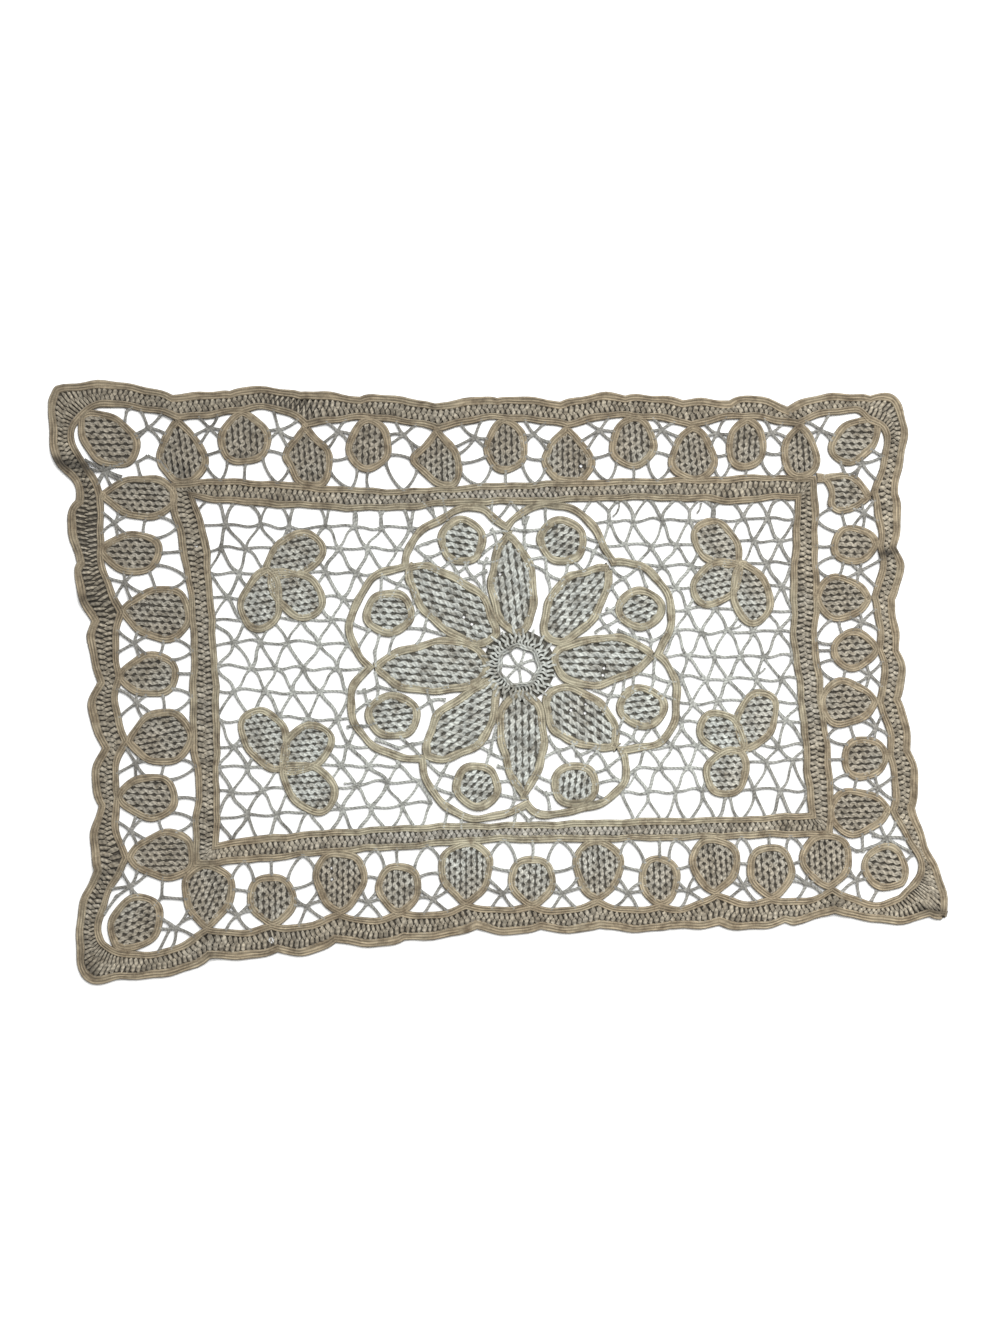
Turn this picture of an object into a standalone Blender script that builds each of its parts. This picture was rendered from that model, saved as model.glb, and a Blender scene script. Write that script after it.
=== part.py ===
"""A flat tape-lace doily: scalloped border tape, leaves and discs, inner frame, net ground, trefoils and a flower.

Every piece is flat and lies on the table, so each is drawn as outlines in the plane and raised to its thickness.
Places in the tables are counted on a half-millimetre grid laid over the doily: columns run right and rows run down.
Headings are in degrees, counted anticlockwise from the right. Everything else is in millimetres.
"""
import math

import bmesh
import bpy
from mathutils import Vector
from mathutils.geometry import delaunay_2d_cdt

# Driving sizes, in millimetres
GRID = 0.5
MIDDLE_COLUMN = 498.0
MIDDLE_ROW = 683.0
BORDER_THICK = 1.6
FRAME_THICK = 1.6
LEAF_THICK = 1.5
DISC_THICK = 1.3
FLOWER_THICK = 1.5
RING_THICK = 1.5
NET_THICK = 1.1
GAP = 0.3
BAR_WIDE = 1.6
KNOT_RADIUS = 1.3
RING_TAPE_WIDE = 3.6
NET_BAR_WIDE = 1.9
NET_EDGE_WIDE = 1.1
SMALLEST_OPENING = 15.0
EYELET_RADIUS = 8.6
CORE_RADIUS = 23.0
SPOKE_WIDE = 1.3
METRE = 0.001

# Drawing accuracy
CURVE_STEPS = 3
MOTIF_POINTS = 16
NEARNESS = 0.001
SHORTEST_EDGE = 0.06
LEAST_LEAN = 0.45
SIDE_REACH = 400.0

# Colours of the ageing linen tape and the grey thread, as linear red, green and blue
TAPE_BROWN = (0.30, 0.24, 0.17)
TAPE_STRAW = (0.37, 0.33, 0.24)
THREAD_GREY = (0.33, 0.32, 0.29)
BAR_GREY = (0.22, 0.23, 0.22)

# Outlines clockwise from the top left. Each row: column, row, True where the edge turns sharply
BORDER_OUTER = [
    (48.5, 410, False), (50, 396, False), (57, 386, False), (98, 381.3, False), (140, 385, False),
    (173, 395.3, True), (213, 390.8, False), (230, 392, True), (260, 385.8, False), (301, 393, True),
    (325, 391.5, False), (360, 397.5, True), (387, 394.5, False), (435, 404.2, True), (478, 396.7, False),
    (497, 399, True), (523, 396, False), (560, 402.5, True), (602, 392.5, False), (625, 396, True),
    (653, 394.5, False), (683, 400, True), (705, 398.8, False), (729, 400.5, True), (750, 395.3, False),
    (787, 406, True), (815, 396, False), (850, 393, False), (870, 396, True), (890, 394, False),
    (903, 408, False), (907.5, 430, False), (903, 462, False), (898, 494, True), (900.5, 522, False),
    (897.5, 547, True), (903.3, 567, False), (894.5, 600, True), (897.5, 625, False), (899.4, 650, True),
    (906, 672, False), (899.4, 699, True), (909, 724, False), (911, 750, True), (918, 778, False),
    (915, 808, True), (928, 846, False), (941, 873, False), (948, 911, False), (944, 919, False),
    (929, 917, True), (890, 924, False), (834, 912.5, True), (797, 924.6, False), (785, 923.3, True),
    (747, 930.5, False), (719, 925.3, True), (692, 929.2, False), (670, 928.7, True), (632, 932.2, False),
    (600, 927.5, True), (563, 933.3, False), (541, 929.7, True), (503, 934.8, False), (477, 929.2, True),
    (425, 940.8, False), (405, 940, True), (373, 947, False), (336, 942, True), (303, 956, False),
    (278, 952.7, True), (243, 959.3, False), (211, 958.5, True), (171, 976, False), (121, 980, False),
    (93, 984.3, False), (81, 974, False), (75.7, 940, False), (79.4, 906, False), (94.6, 870, True),
    (91, 837, False), (98, 806, True), (92, 778, False), (101, 748, True), (88.8, 707, False),
    (96.3, 682, True), (88, 640, False), (90.3, 621.5, True), (80, 600, False), (74.7, 573, False),
    (76.7, 563, True), (67.8, 518, False), (75.8, 500, True), (71, 480, False), (56, 464, False),
    (49.5, 440, False),
]
BORDER_INNER = [
    (98, 409, False), (118, 408, False), (150, 413, False), (178, 421, True), (213, 417.5, False),
    (243, 414, True), (272, 411, False), (305, 428, True), (335, 423, False), (369, 421, True),
    (395, 423, False), (437, 432, True), (475, 423, False), (505, 421, True), (533, 423, False),
    (567, 429, True), (602, 420, False), (633, 420, True), (660, 421, False), (691, 430, True),
    (720, 421, False), (745, 420, True), (765, 421.5, False), (798, 428, True), (820, 418, False),
    (855, 413.5, False), (866, 422, False), (880, 430, False), (884, 445, False), (880, 463, False),
    (870, 492, True), (877, 525, False), (876, 546, True), (879, 570, False), (870, 597, True),
    (876.5, 628, False), (877, 650, True), (880.5, 676, False), (876, 701, True), (886, 735, False),
    (887, 757, True), (892, 783, False), (889, 810, True), (901, 832, False), (917, 860, False),
    (918, 880, False), (904, 893, False), (880, 901, False), (855, 897, False), (832, 885.5, True),
    (801, 898, False), (771, 896, True), (745, 900, False), (716, 891.5, True), (682, 905, False),
    (659, 904, True), (628, 906, False), (598, 899, True), (562, 907, False), (532, 904, True),
    (500, 906, False), (466, 903, True), (436, 911, False), (401, 910, True), (370, 917, False),
    (340, 911, True), (298, 924, False), (272, 923, True), (240, 929, False), (207, 926, True),
    (190, 937, False), (164, 949, False), (135, 951.5, False), (106, 942, False), (101, 930, False),
    (107, 906, False), (123, 872, False), (130, 858, True), (119.5, 825, False), (121, 797, True),
    (120, 768, False), (129, 742, True), (119.5, 705, False), (122, 677, True), (119.5, 645, False),
    (124, 612, True), (109, 575, False), (103, 553, True), (104.5, 522, False), (104, 496, True),
    (90, 466, False), (76, 443, False), (77, 424, False),
]
FRAME_OUTER = [
    (172, 483, True), (200, 479, False), (250, 479.5, False), (320, 485, False), (400, 488.5, False),
    (480, 484, False), (580, 480, False), (700, 477, False), (780, 474.5, False), (815, 477, True),
    (819, 518, False), (817, 540, False), (820, 585, False), (818, 640, False), (823, 688, False),
    (828, 730, False), (833, 780, False), (833, 837, True), (760, 838, False), (700, 840, False),
    (600, 842, False), (480, 843, False), (420, 848.5, False), (340, 854, False), (260, 862, False),
    (193, 867, True), (193, 825, False), (195.5, 785, False), (190, 735, False), (190.5, 680, False),
    (190, 620, False), (179.5, 545, False), (170, 505, False),
]
FRAME_INNER = [
    (197, 500, True), (235, 504.5, False), (300, 508.5, False), (370, 511.5, False), (420, 509, False),
    (460, 505.5, False), (540, 504.5, False), (620, 501, False), (700, 502, False), (730, 504.5, False),
    (760, 502, False), (795, 500, True), (792, 545, False), (790, 600, False), (791, 645, False),
    (798, 700, False), (804, 770, False), (808, 812, True), (740, 816, False), (640, 818.5, False),
    (540, 821.5, False), (440, 823.5, False), (370, 827, False), (300, 832, False), (220, 841, True),
    (220, 780, False), (219.5, 700, False), (215, 620, False), (208, 540, False),
]
# Middle of the narrow tape that loops around the flower, with its sharp turns at the petals' tips
RING_MIDDLE = [
    (507, 526, True), (528, 514, False), (555, 509.5, False), (590, 521, False), (606, 545, False),
    (613, 563, True), (640, 567, False), (664, 586, False), (675, 621, False), (659, 655, True),
    (672, 671, False), (679, 708, False), (662, 742, False), (620, 748, True), (626, 775, False),
    (600, 803, False), (552, 818, False), (527, 804, True), (508, 815, False), (483, 818.5, False),
    (446, 806, False), (428, 785, False), (422, 759, True), (392, 754, False), (357, 729, False),
    (351, 700, False), (368, 668, True), (350, 640, False), (350, 608, False), (368, 582, False),
    (404, 565, True), (408, 538, False), (430, 517, False), (465, 510, False), (492, 518, False),
]

# Motifs between border and frame, clockwise from the top left corner. Each row: kind, tip column, tip row,
# heading from the tip, length, breadth, then the thread crossing before the next motif (column, row), and
# where the thread between the two is caught on the frame (column, row, or None at a corner)
BORDER_MOTIFS = [
    ("disc", 83, 418, -40, 68, 50, 148, 428, None),
    ("leaf", 178, 421, -84, 64, 54, 210, 428, (221, 478)),
    ("disc", 243, 415, -87, 51, 54, 279, 430, (278, 480)),
    ("leaf", 305, 428, -87, 62, 52, 338, 432, (352, 485)),
    ("disc", 369, 421, -90, 51, 47, 404, 435, (403, 486)),
    ("leaf", 437, 432, -90, 60, 55, 475, 437, (480, 483)),
    ("disc", 506, 422, -90, 51, 46, 534, 434, (534, 480)),
    ("leaf", 567, 429, -90, 58, 56, 600, 430, (608, 478)),
    ("disc", 633, 419, -90, 50, 49, 662, 430, (657, 478)),
    ("leaf", 692, 429, -88, 54, 49, 718, 434, (721, 475)),
    ("disc", 746, 421, -90, 50, 42, 771, 433, (773, 474)),
    ("leaf", 799, 427, -88, 54, 39, 820, 430, None),
    ("disc", 876, 424, -142, 56, 42, 862, 463, None),
    ("leaf", 868, 491, 178, 44, 44, 864, 513, (820, 520)),
    ("disc", 874, 545, 180, 43, 42, 860, 571, (820, 566)),
    ("leaf", 868, 598, 180, 54, 48, 862, 622, (820, 640)),
    ("disc", 875, 650, 180, 45, 42, 869, 674, (822, 664)),
    ("leaf", 874, 702, 182, 56, 50, 876, 728, (829, 737)),
    ("disc", 885, 757, 183, 44, 46, 878, 787, (832, 783)),
    ("leaf", 887, 810, 184, 60, 46, 886, 834, None),
    ("disc", 901, 886, 135, 48, 46, 857, 880, None),
    ("leaf", 831, 886, 97, 54, 50, 806, 884, (790, 839)),
    ("disc", 771, 895, 91, 51, 50, 744, 886, (741, 840)),
    ("leaf", 716, 891, 93, 55, 52, 688, 891, (675, 842)),
    ("disc", 659, 903, 89, 48, 43, 628, 893, (629, 842)),
    ("leaf", 598, 898, 90, 60, 52, 562, 893, (559, 843)),
    ("disc", 532, 903, 90, 47, 50, 503, 893, (504, 843)),
    ("leaf", 466, 902, 90, 62, 56, 433, 899, (428, 849)),
    ("disc", 400, 910, 93, 47, 48, 368, 902, (376, 850)),
    ("leaf", 340, 911, 90, 62, 55, 307, 906, (303, 859)),
    ("disc", 272, 923, 90, 50, 50, 238, 915, (245, 865)),
    ("leaf", 207, 925, 88, 63, 54, 176, 928, None),
    ("disc", 120, 942, 50, 56, 52, 131, 886, None),
    ("leaf", 131, 857, 3, 66, 52, 131, 831, (193, 820)),
    ("disc", 121, 796, -2, 58, 48, 136, 763, (193, 767)),
    ("leaf", 130, 742, 8, 64, 58, 137, 703, (190, 696)),
    ("disc", 122, 677, 4, 58, 46, 135, 643, (190, 651)),
    ("leaf", 125, 612, -3, 68, 57, 125, 582, (184, 578)),
    ("disc", 104, 553, 0, 59, 45, 115, 523, (177, 527)),
    ("leaf", 104, 496, -2, 74, 46, 107, 466, None),
]

# Three-leaved sprays. Each row: spray, root column, root row, heading from the root, length, breadth
TREFOIL_LEAVES = [
    ("trefoil_top_left", 262, 572, 31, 76, 46),
    ("trefoil_top_left", 268, 572, -37, 68, 46),
    ("trefoil_top_left", 272, 566, -102, 68, 44),
    ("trefoil_bottom_left", 284, 772, 119, 72, 48),
    ("trefoil_bottom_left", 280, 772, 42, 66, 46),
    ("trefoil_bottom_left", 282, 762, -46, 72, 48),
    ("trefoil_top_right", 741, 566, 134, 62, 46),
    ("trefoil_top_right", 742, 562, -141, 62, 44),
    ("trefoil_top_right", 738, 560, -76, 70, 42),
    ("trefoil_bottom_right", 744, 752, 70, 66, 44),
    ("trefoil_bottom_right", 746, 752, 140, 62, 42),
    ("trefoil_bottom_right", 738, 742, -108, 56, 46),
]

# Flower. Each row: petal tip column, petal tip row, length towards the middle, breadth
FLOWER_COLUMN = 519.0
FLOWER_ROW = 666.0
PETALS = [
    (507, 531, 116, 50),
    (608, 568, 120, 50),
    (653, 656, 122, 50),
    (615, 745, 118, 50),
    (525, 798, 118, 50),
    (427, 755, 120, 52),
    (374, 668, 130, 50),
    (410, 569, 132, 54),
]
SPOKE_COUNT = 6

# Small discs in the loops around the flower. Each row: middle column, middle row, wide, tall
RING_DISCS = [
    (462, 541, 50, 46),
    (563, 541, 49, 49),
    (641, 608, 49, 44),
    (642, 706, 49, 44),
    (574, 783, 48, 42),
    (478, 786, 47, 46),
    (393, 715, 52, 44),
    (392, 615, 48, 46),
]
RING_DISC_BARS = (50, 128, 232, 310)

# Net ground. Each row: half, first crossing column, first line's row, triangle width, line spacing
NET_HALVES = [
    ("net_left", 171, 474.4, 56, 48.7),
    ("net_right", 580, 472.0, 54, 48.2),
]
NET_LINES = 9
NET_CROSSINGS = 8

# How sharply each kind of motif is pointed: 0 is an ellipse, 1 is a drop
LEAF_POINT = 0.55
DISC_POINT = 0.25
SPRAY_POINT = 0.35
PETAL_POINT = 0.3


def place(column, row):
    """A point of the tables, in millimetres from the doily's middle."""
    return Vector(((column - MIDDLE_COLUMN) * GRID, (MIDDLE_ROW - row) * GRID))


def towards(heading):
    """The direction of a heading in degrees."""
    return Vector((math.cos(math.radians(heading)), math.sin(math.radians(heading))))


def anticlockwise(outline):
    """The outline with its inside on the left."""
    count = len(outline)
    twice_area = sum(outline[i - 1].cross(outline[i]) for i in range(count))
    return outline if twice_area > 0 else outline[::-1]


def smooth_run(points):
    """A smooth line through the points of one run between two sharp turns, without its last point."""
    if len(points) == 2:
        return [points[0]]
    slopes = [None] * len(points)
    for i in range(1, len(points) - 1):
        before = (points[i] - points[i - 1]).length
        after = (points[i + 1] - points[i]).length
        slopes[i] = (points[i + 1] - points[i - 1]) / (before + after)
    slopes[0] = 2 * (points[1] - points[0]).normalized() - slopes[1]
    slopes[-1] = 2 * (points[-1] - points[-2]).normalized() - slopes[-2]
    line = []
    for i in range(len(points) - 1):
        span = (points[i + 1] - points[i]).length
        for step in range(CURVE_STEPS):
            t = step / CURVE_STEPS
            rise = t * t * (3 - 2 * t)
            leave = t * (1 - t) * (1 - t) * span
            arrive = t * t * (t - 1) * span
            line.append(points[i].lerp(points[i + 1], rise) + slopes[i] * leave + slopes[i + 1] * arrive)
    return line


def edge_line(rows):
    """The closed line through a table's points, sharp only where the table says so."""
    points = [place(column, row) for column, row, _ in rows]
    first = next(i for i, row in enumerate(rows) if row[2])
    points = points[first:] + points[:first + 1]
    sharp = [row[2] for row in rows[first:] + rows[:first + 1]]
    turns = [i for i, is_sharp in enumerate(sharp) if is_sharp]
    line = []
    for start, end in zip(turns, turns[1:]):
        line += smooth_run(points[start:end + 1])
    return anticlockwise(line)


def grown(outline, by):
    """The anticlockwise outline moved outwards by a distance, or inwards where it is negative."""
    moved = []
    count = len(outline)
    for i, here in enumerate(outline):
        arriving = (here - outline[i - 1]).normalized()
        leaving = (outline[(i + 1) % count] - here).normalized()
        out_before = Vector((arriving.y, -arriving.x))
        out_after = Vector((leaving.y, -leaving.x))
        out = (out_before + out_after).normalized()
        moved.append(here + out * by / max(out.dot(out_before), LEAST_LEAN))
    return moved


def drop(column, row, heading, length, breadth, point, count=MOTIF_POINTS):
    """A leaf, disc or petal: pointed at its tip, round at its other end."""
    tip = place(column, row)
    along = towards(heading)
    across = Vector((-along.y, along.x))
    widest = (1 + point) / (2 + point)
    fullness = 2 * widest ** ((1 + point) / 2) * math.sqrt(1 - widest)
    outline = []
    for i in range(count):
        turn = 2 * math.pi * i / count
        forward = length * GRID * (1 - math.cos(turn)) / 2
        sideways = breadth * GRID / 2 * math.sin(turn) * math.sin(turn / 2) ** point / fullness
        outline.append(tip + along * forward + across * sideways)
    return anticlockwise(outline)


def circle(middle, radius, count):
    """A round outline with this many points."""
    return [middle + towards(360 * i / count) * radius for i in range(count)]


def bar(start, end, wide=BAR_WIDE):
    """A straight thread bar between two points."""
    along = (end - start).normalized()
    side = Vector((-along.y, along.x)) * wide / 2
    return anticlockwise([start - side, end - side, end + side, start + side])


def knot(middle):
    """The small knot where thread bars cross."""
    return circle(middle, KNOT_RADIUS, 6)


def main_groups(triangles):
    """Groups of triangles that join edge to edge."""
    edges = {}
    for number, corners in enumerate(triangles):
        for i in range(3):
            edges.setdefault(frozenset((corners[i - 1], corners[i])), []).append(number)
    beside = [set() for _ in triangles]
    for shared in edges.values():
        for number in shared:
            beside[number].update(shared)
    groups = []
    left = set(range(len(triangles)))
    while left:
        group = set()
        front = {left.pop()}
        while front:
            group |= front
            front = set().union(*(beside[number] for number in front)) & left
            left -= front
        groups.append([triangles[number] for number in sorted(group)])
    return groups


def area(points, triangles):
    """The area that these triangles cover."""
    return sum(
        abs((points[b] - points[a]).cross(points[c] - points[a])) / 2
        for a, b, c in triangles
    )


def plane_pieces(shapes, keep, opening=None):
    """The main piece of what keep() wants, once the plane is cut along every labelled outline.

    opening() names what may be cut away, and there only openings of a fair size are.
    """
    points = []
    faces = []
    labels = []
    for label, outline in shapes:
        first = len(points)
        points += outline
        faces.append(list(range(first, first + len(outline))))
        labels.append(label)
    points, _, triangles, _, _, parents = delaunay_2d_cdt(points, [], faces, 1, NEARNESS)
    covers = [{labels[number] for number in covering} for covering in parents]
    wanted = [corners for corners, cover in zip(triangles, covers) if keep(cover)]
    if opening:
        open_now = [corners for corners, cover in zip(triangles, covers) if keep(cover) and opening(cover)]
        cut = {
            corners
            for group in main_groups([tuple(corners) for corners in open_now])
            if area(points, group) > SMALLEST_OPENING
            for corners in group
        }
        wanted = [corners for corners in wanted if tuple(corners) not in cut]
    groups = main_groups([tuple(corners) for corners in wanted])
    return points, max(groups, key=lambda group: area(points, group))


def cloth(name, colour):
    """A matt thread or tape material."""
    material = bpy.data.materials.new(name)
    material.use_nodes = True
    shader = material.node_tree.nodes["Principled BSDF"]
    shader.inputs["Base Color"].default_value = (*colour, 1)
    shader.inputs["Roughness"].default_value = 0.9
    shader.inputs["Metallic"].default_value = 0.0
    return material


def slab(name, points, triangles, thick, colour):
    """One flat piece, raised from the table to its thickness."""
    bm = bmesh.new()
    corners = {
        number: bm.verts.new((*(points[number] * METRE), 0))
        for number in sorted({number for triangle in triangles for number in triangle})
    }
    for triangle in triangles:
        bm.faces.new([corners[number] for number in triangle])
    bmesh.ops.remove_doubles(bm, verts=bm.verts, dist=SHORTEST_EDGE * METRE)
    bmesh.ops.dissolve_degenerate(bm, dist=SHORTEST_EDGE * METRE, edges=bm.edges)
    raised = bmesh.ops.extrude_face_region(bm, geom=bm.faces[:])["geom"]
    top = [item for item in raised if isinstance(item, bmesh.types.BMVert)]
    bmesh.ops.translate(bm, verts=top, vec=(0, 0, thick * METRE))
    bmesh.ops.triangulate(bm, faces=bm.faces)
    bmesh.ops.recalc_face_normals(bm, faces=bm.faces)
    mesh = bpy.data.meshes.new(name)
    bm.to_mesh(mesh)
    bm.free()
    mesh.materials.append(cloth(name + "_cloth", colour))
    bpy.context.scene.collection.objects.link(bpy.data.objects.new(name, mesh))


def tapes(lines):
    """The scalloped border and the inner frame, each two narrow tapes joined by stitches."""
    border = [("tape", lines["border_outer"]), ("inside", lines["border_inner"])]
    slab("border_tape", *plane_pieces(border, lambda on: on == {"tape"}), BORDER_THICK, TAPE_BROWN)
    frame = [("tape", lines["frame_outer"]), ("inside", lines["frame_inner"])]
    slab("frame_tape", *plane_pieces(frame, lambda on: on == {"tape"}), FRAME_THICK, TAPE_BROWN)


def motif_middle(motif):
    """The middle of a border motif."""
    _, column, row, heading, length = motif[:5]
    return place(column, row) + towards(heading) * length * GRID / 2


def crossing_bars(disc, leaf, crossing, foot):
    """Thread bars between a disc and a leaf: a crossing near the border, and a catch on the frame."""
    crossing = place(*crossing)
    disc_middle = motif_middle(disc)
    leaf_middle = motif_middle(leaf)
    between = (leaf_middle - disc_middle).normalized()
    outward = Vector((-between.y, between.x))
    if outward.dot(crossing) < 0:
        outward = -outward
    shapes = [
        knot(crossing),
        bar(crossing, crossing + outward * disc[5] * GRID),
        bar(crossing, disc_middle),
        bar(crossing, leaf_middle),
    ]
    if foot is None:
        shapes.append(bar(disc_middle, leaf_middle))
    else:
        caught = place(*foot) + (crossing - place(*foot)).normalized() * KNOT_RADIUS
        shapes += [knot(caught), bar(caught, disc_middle), bar(caught, leaf_middle)]
    return shapes


def border_motifs(lines):
    """Leaves from the border to the frame, and between them discs that hang in their thread bars."""
    count = len(BORDER_MOTIFS)
    outlines = []
    for kind, column, row, heading, length, breadth, *_ in BORDER_MOTIFS:
        point = LEAF_POINT if kind == "leaf" else DISC_POINT
        outlines.append(drop(column, row, heading, length, breadth, point))
    limits = [("room", grown(lines["border_inner"], -GAP)), ("frame", grown(lines["frame_outer"], GAP))]
    for number, motif in enumerate(BORDER_MOTIFS):
        shapes = limits + [("motif", outlines[number])]
        if motif[0] == "leaf":
            shapes.append(("leaf", grown(outlines[number - 2], GAP)))
        else:
            before = (number - 1) % count
            after = (number + 1) % count
            for leaf, source in ((before, before), (after, number)):
                foot = BORDER_MOTIFS[source][8]
                crossing = BORDER_MOTIFS[source][6:8]
                bars = crossing_bars(motif, BORDER_MOTIFS[leaf], crossing, foot)
                shapes += [("motif", outline) for outline in bars]
                shapes.append(("leaf", grown(outlines[leaf], GAP)))
            if BORDER_MOTIFS[before][8] and motif[8]:
                along = towards(motif[3])
                reach = motif_middle(motif) + along * motif[4] * GRID
                shapes.append(("motif", bar(motif_middle(motif), reach)))
        pieces = plane_pieces(shapes, lambda on: {"motif", "room"} <= on and not on & {"frame", "leaf"})
        thick, colour = (LEAF_THICK, THREAD_GREY) if motif[0] == "leaf" else (DISC_THICK, TAPE_STRAW)
        slab(f"border_{motif[0]}_{number + 1:02d}", *pieces, thick, colour)


def ring_and_flower(lines):
    """The looped tape, the eight-petalled flower inside it and the small discs in its loops."""
    limits = [("room", grown(lines["frame_inner"], -GAP))]
    ring = limits + [("tape", lines["ring_outer"]), ("inside", lines["ring_inner"])]
    slab("flower_ring", *plane_pieces(ring, lambda on: on == {"tape", "room"}), RING_THICK, TAPE_STRAW)

    middle = place(FLOWER_COLUMN, FLOWER_ROW)
    petals = []
    for column, row, length, breadth in PETALS:
        inward = middle - place(column, row)
        heading = math.degrees(math.atan2(inward.y, inward.x))
        petals.append(drop(column, row, heading, length, breadth, PETAL_POINT, 2 * MOTIF_POINTS))
    room = ("room", grown(lines["ring_inner"], -GAP))
    shapes = [room, ("petal", circle(middle, CORE_RADIUS, MOTIF_POINTS))]
    shapes.append(("eyelet", circle(middle, EYELET_RADIUS, MOTIF_POINTS)))
    shapes += [("petal", outline) for outline in petals]
    for i in range(SPOKE_COUNT):
        end = middle + towards(360 * i / SPOKE_COUNT) * (EYELET_RADIUS + 1)
        shapes.append(("spoke", bar(middle, end, SPOKE_WIDE)))
    flower = plane_pieces(
        shapes,
        lambda on: {"petal", "room"} <= on and ("eyelet" not in on or "spoke" in on),
    )
    slab("flower", *flower, FLOWER_THICK, THREAD_GREY)

    for number, (column, row, wide, tall) in enumerate(RING_DISCS):
        disc_middle = place(column, row)
        outline = drop(column - wide / 2, row, 0, wide, tall, 0)
        radial = math.degrees(math.atan2(*reversed(disc_middle - middle)))
        shapes = [room, ("disc", outline)]
        shapes += [("petal", grown(petal, GAP)) for petal in petals]
        for turn in RING_DISC_BARS:
            shapes.append(("disc", bar(disc_middle, disc_middle + towards(radial + turn) * wide)))
        pieces = plane_pieces(shapes, lambda on: {"disc", "room"} <= on and "petal" not in on)
        slab(f"ring_disc_{number + 1}", *pieces, DISC_THICK, TAPE_STRAW)


def sprays():
    """The four three-leaved sprays, by name, as outlines."""
    found = {}
    for name, column, row, heading, length, breadth in TREFOIL_LEAVES:
        found.setdefault(name, []).append(drop(column, row, heading, length, breadth, SPRAY_POINT))
    return found


def net_cells(first_column, first_row, wide, spacing):
    """The triangles of one half's net, each drawn in by half a bar all round."""
    lines = []
    for line in range(NET_LINES):
        shift = wide / 2 * (line % 2)
        row = first_row + spacing * line
        lines.append([place(first_column + shift + wide * i, row) for i in range(NET_CROSSINGS)])
    cells = []
    for line in range(NET_LINES - 1):
        upper, lower = lines[line], lines[line + 1]
        if line % 2:
            upper, lower = lower, upper
        for i in range(NET_CROSSINGS - 1):
            cells.append([upper[i], upper[i + 1], lower[i]])
            cells.append([lower[i], lower[i + 1], upper[i + 1]])
    return [grown(anticlockwise(cell), -NET_BAR_WIDE / 2) for cell in cells]


def net_ground(lines, leaves):
    """The triangular thread net left and right of the flower, around the sprays."""
    divide = place(FLOWER_COLUMN, FLOWER_ROW).x
    for name, column, row, wide, spacing in NET_HALVES:
        edge = -SIDE_REACH if name == "net_left" else SIDE_REACH
        half = anticlockwise([Vector((x, y)) for x, y in
                              ((divide, SIDE_REACH), (edge, SIDE_REACH), (edge, -SIDE_REACH), (divide, -SIDE_REACH))])
        shapes = [("half", half), ("room", grown(lines["frame_inner"], -GAP))]
        shapes.append(("open", grown(lines["frame_inner"], -GAP - NET_EDGE_WIDE)))
        shapes.append(("taken", grown(lines["ring_outer"], GAP)))
        shapes.append(("rim", grown(lines["ring_outer"], GAP + NET_EDGE_WIDE)))
        for spray in leaves.values():
            shapes += [("taken", grown(leaf, GAP)) for leaf in spray]
            shapes += [("rim", grown(leaf, GAP + NET_EDGE_WIDE)) for leaf in spray]
        shapes += [("cell", cell) for cell in net_cells(column, row, wide, spacing)]
        pieces = plane_pieces(
            shapes,
            lambda on: {"half", "room"} <= on and "taken" not in on,
            lambda on: {"cell", "open"} <= on and "rim" not in on,
        )
        slab(name, *pieces, NET_THICK, BAR_GREY)


def main():
    for old in list(bpy.data.objects):
        bpy.data.objects.remove(old)
    ring = edge_line(RING_MIDDLE)
    lines = {
        "border_outer": edge_line(BORDER_OUTER),
        "border_inner": edge_line(BORDER_INNER),
        "frame_outer": edge_line(FRAME_OUTER),
        "frame_inner": edge_line(FRAME_INNER),
        "ring_outer": grown(ring, RING_TAPE_WIDE / 2),
        "ring_inner": grown(ring, -RING_TAPE_WIDE / 2),
    }
    tapes(lines)
    border_motifs(lines)
    ring_and_flower(lines)
    leaves = sprays()
    for name, spray in leaves.items():
        shapes = [("leaf", outline) for outline in spray]
        slab(name, *plane_pieces(shapes, lambda on: "leaf" in on), LEAF_THICK, THREAD_GREY)
    net_ground(lines, leaves)


main()
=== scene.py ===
# %% [markdown]
# # A tape-lace doily, thread by thread
# The imported model gives the doily's place and size as plain flat solids. This script dresses them: narrow
# woven tapes for every outline, needle stitches that fill the leaves and petals, ladder stitches that join
# the tapes, and thread bars, webs and a net in between. Every thread is a real mesh, so the gaps are real
# gaps, though under the tapes and fillings they show a sheet painted in the colour of shadow.

# %% The imported frame
import math
import random

import bpy
import numpy as np
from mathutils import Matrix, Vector


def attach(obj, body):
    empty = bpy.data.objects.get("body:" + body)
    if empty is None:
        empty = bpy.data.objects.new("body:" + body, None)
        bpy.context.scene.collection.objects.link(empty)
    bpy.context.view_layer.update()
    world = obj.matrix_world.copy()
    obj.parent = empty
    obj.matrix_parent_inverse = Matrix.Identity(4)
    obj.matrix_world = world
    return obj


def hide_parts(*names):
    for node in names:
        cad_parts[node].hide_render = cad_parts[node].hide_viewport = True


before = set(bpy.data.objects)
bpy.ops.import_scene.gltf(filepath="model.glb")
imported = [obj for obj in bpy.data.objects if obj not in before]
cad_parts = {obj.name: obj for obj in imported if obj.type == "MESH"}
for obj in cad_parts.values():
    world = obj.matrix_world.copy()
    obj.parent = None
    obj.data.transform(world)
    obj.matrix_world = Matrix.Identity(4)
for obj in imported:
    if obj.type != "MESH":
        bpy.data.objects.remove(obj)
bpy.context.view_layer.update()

print("nodes in the frame:", len(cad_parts))

# %% [markdown]
# ## Places on the doily
# A lace maker draws the pattern on a grid first. The tables here do the same: columns run right and rows
# run down on a half-millimetre grid, and one function turns a grid place into millimetres from the doily's
# middle. All shapes are worked out in millimetres and become metres only when a mesh is made.

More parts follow.
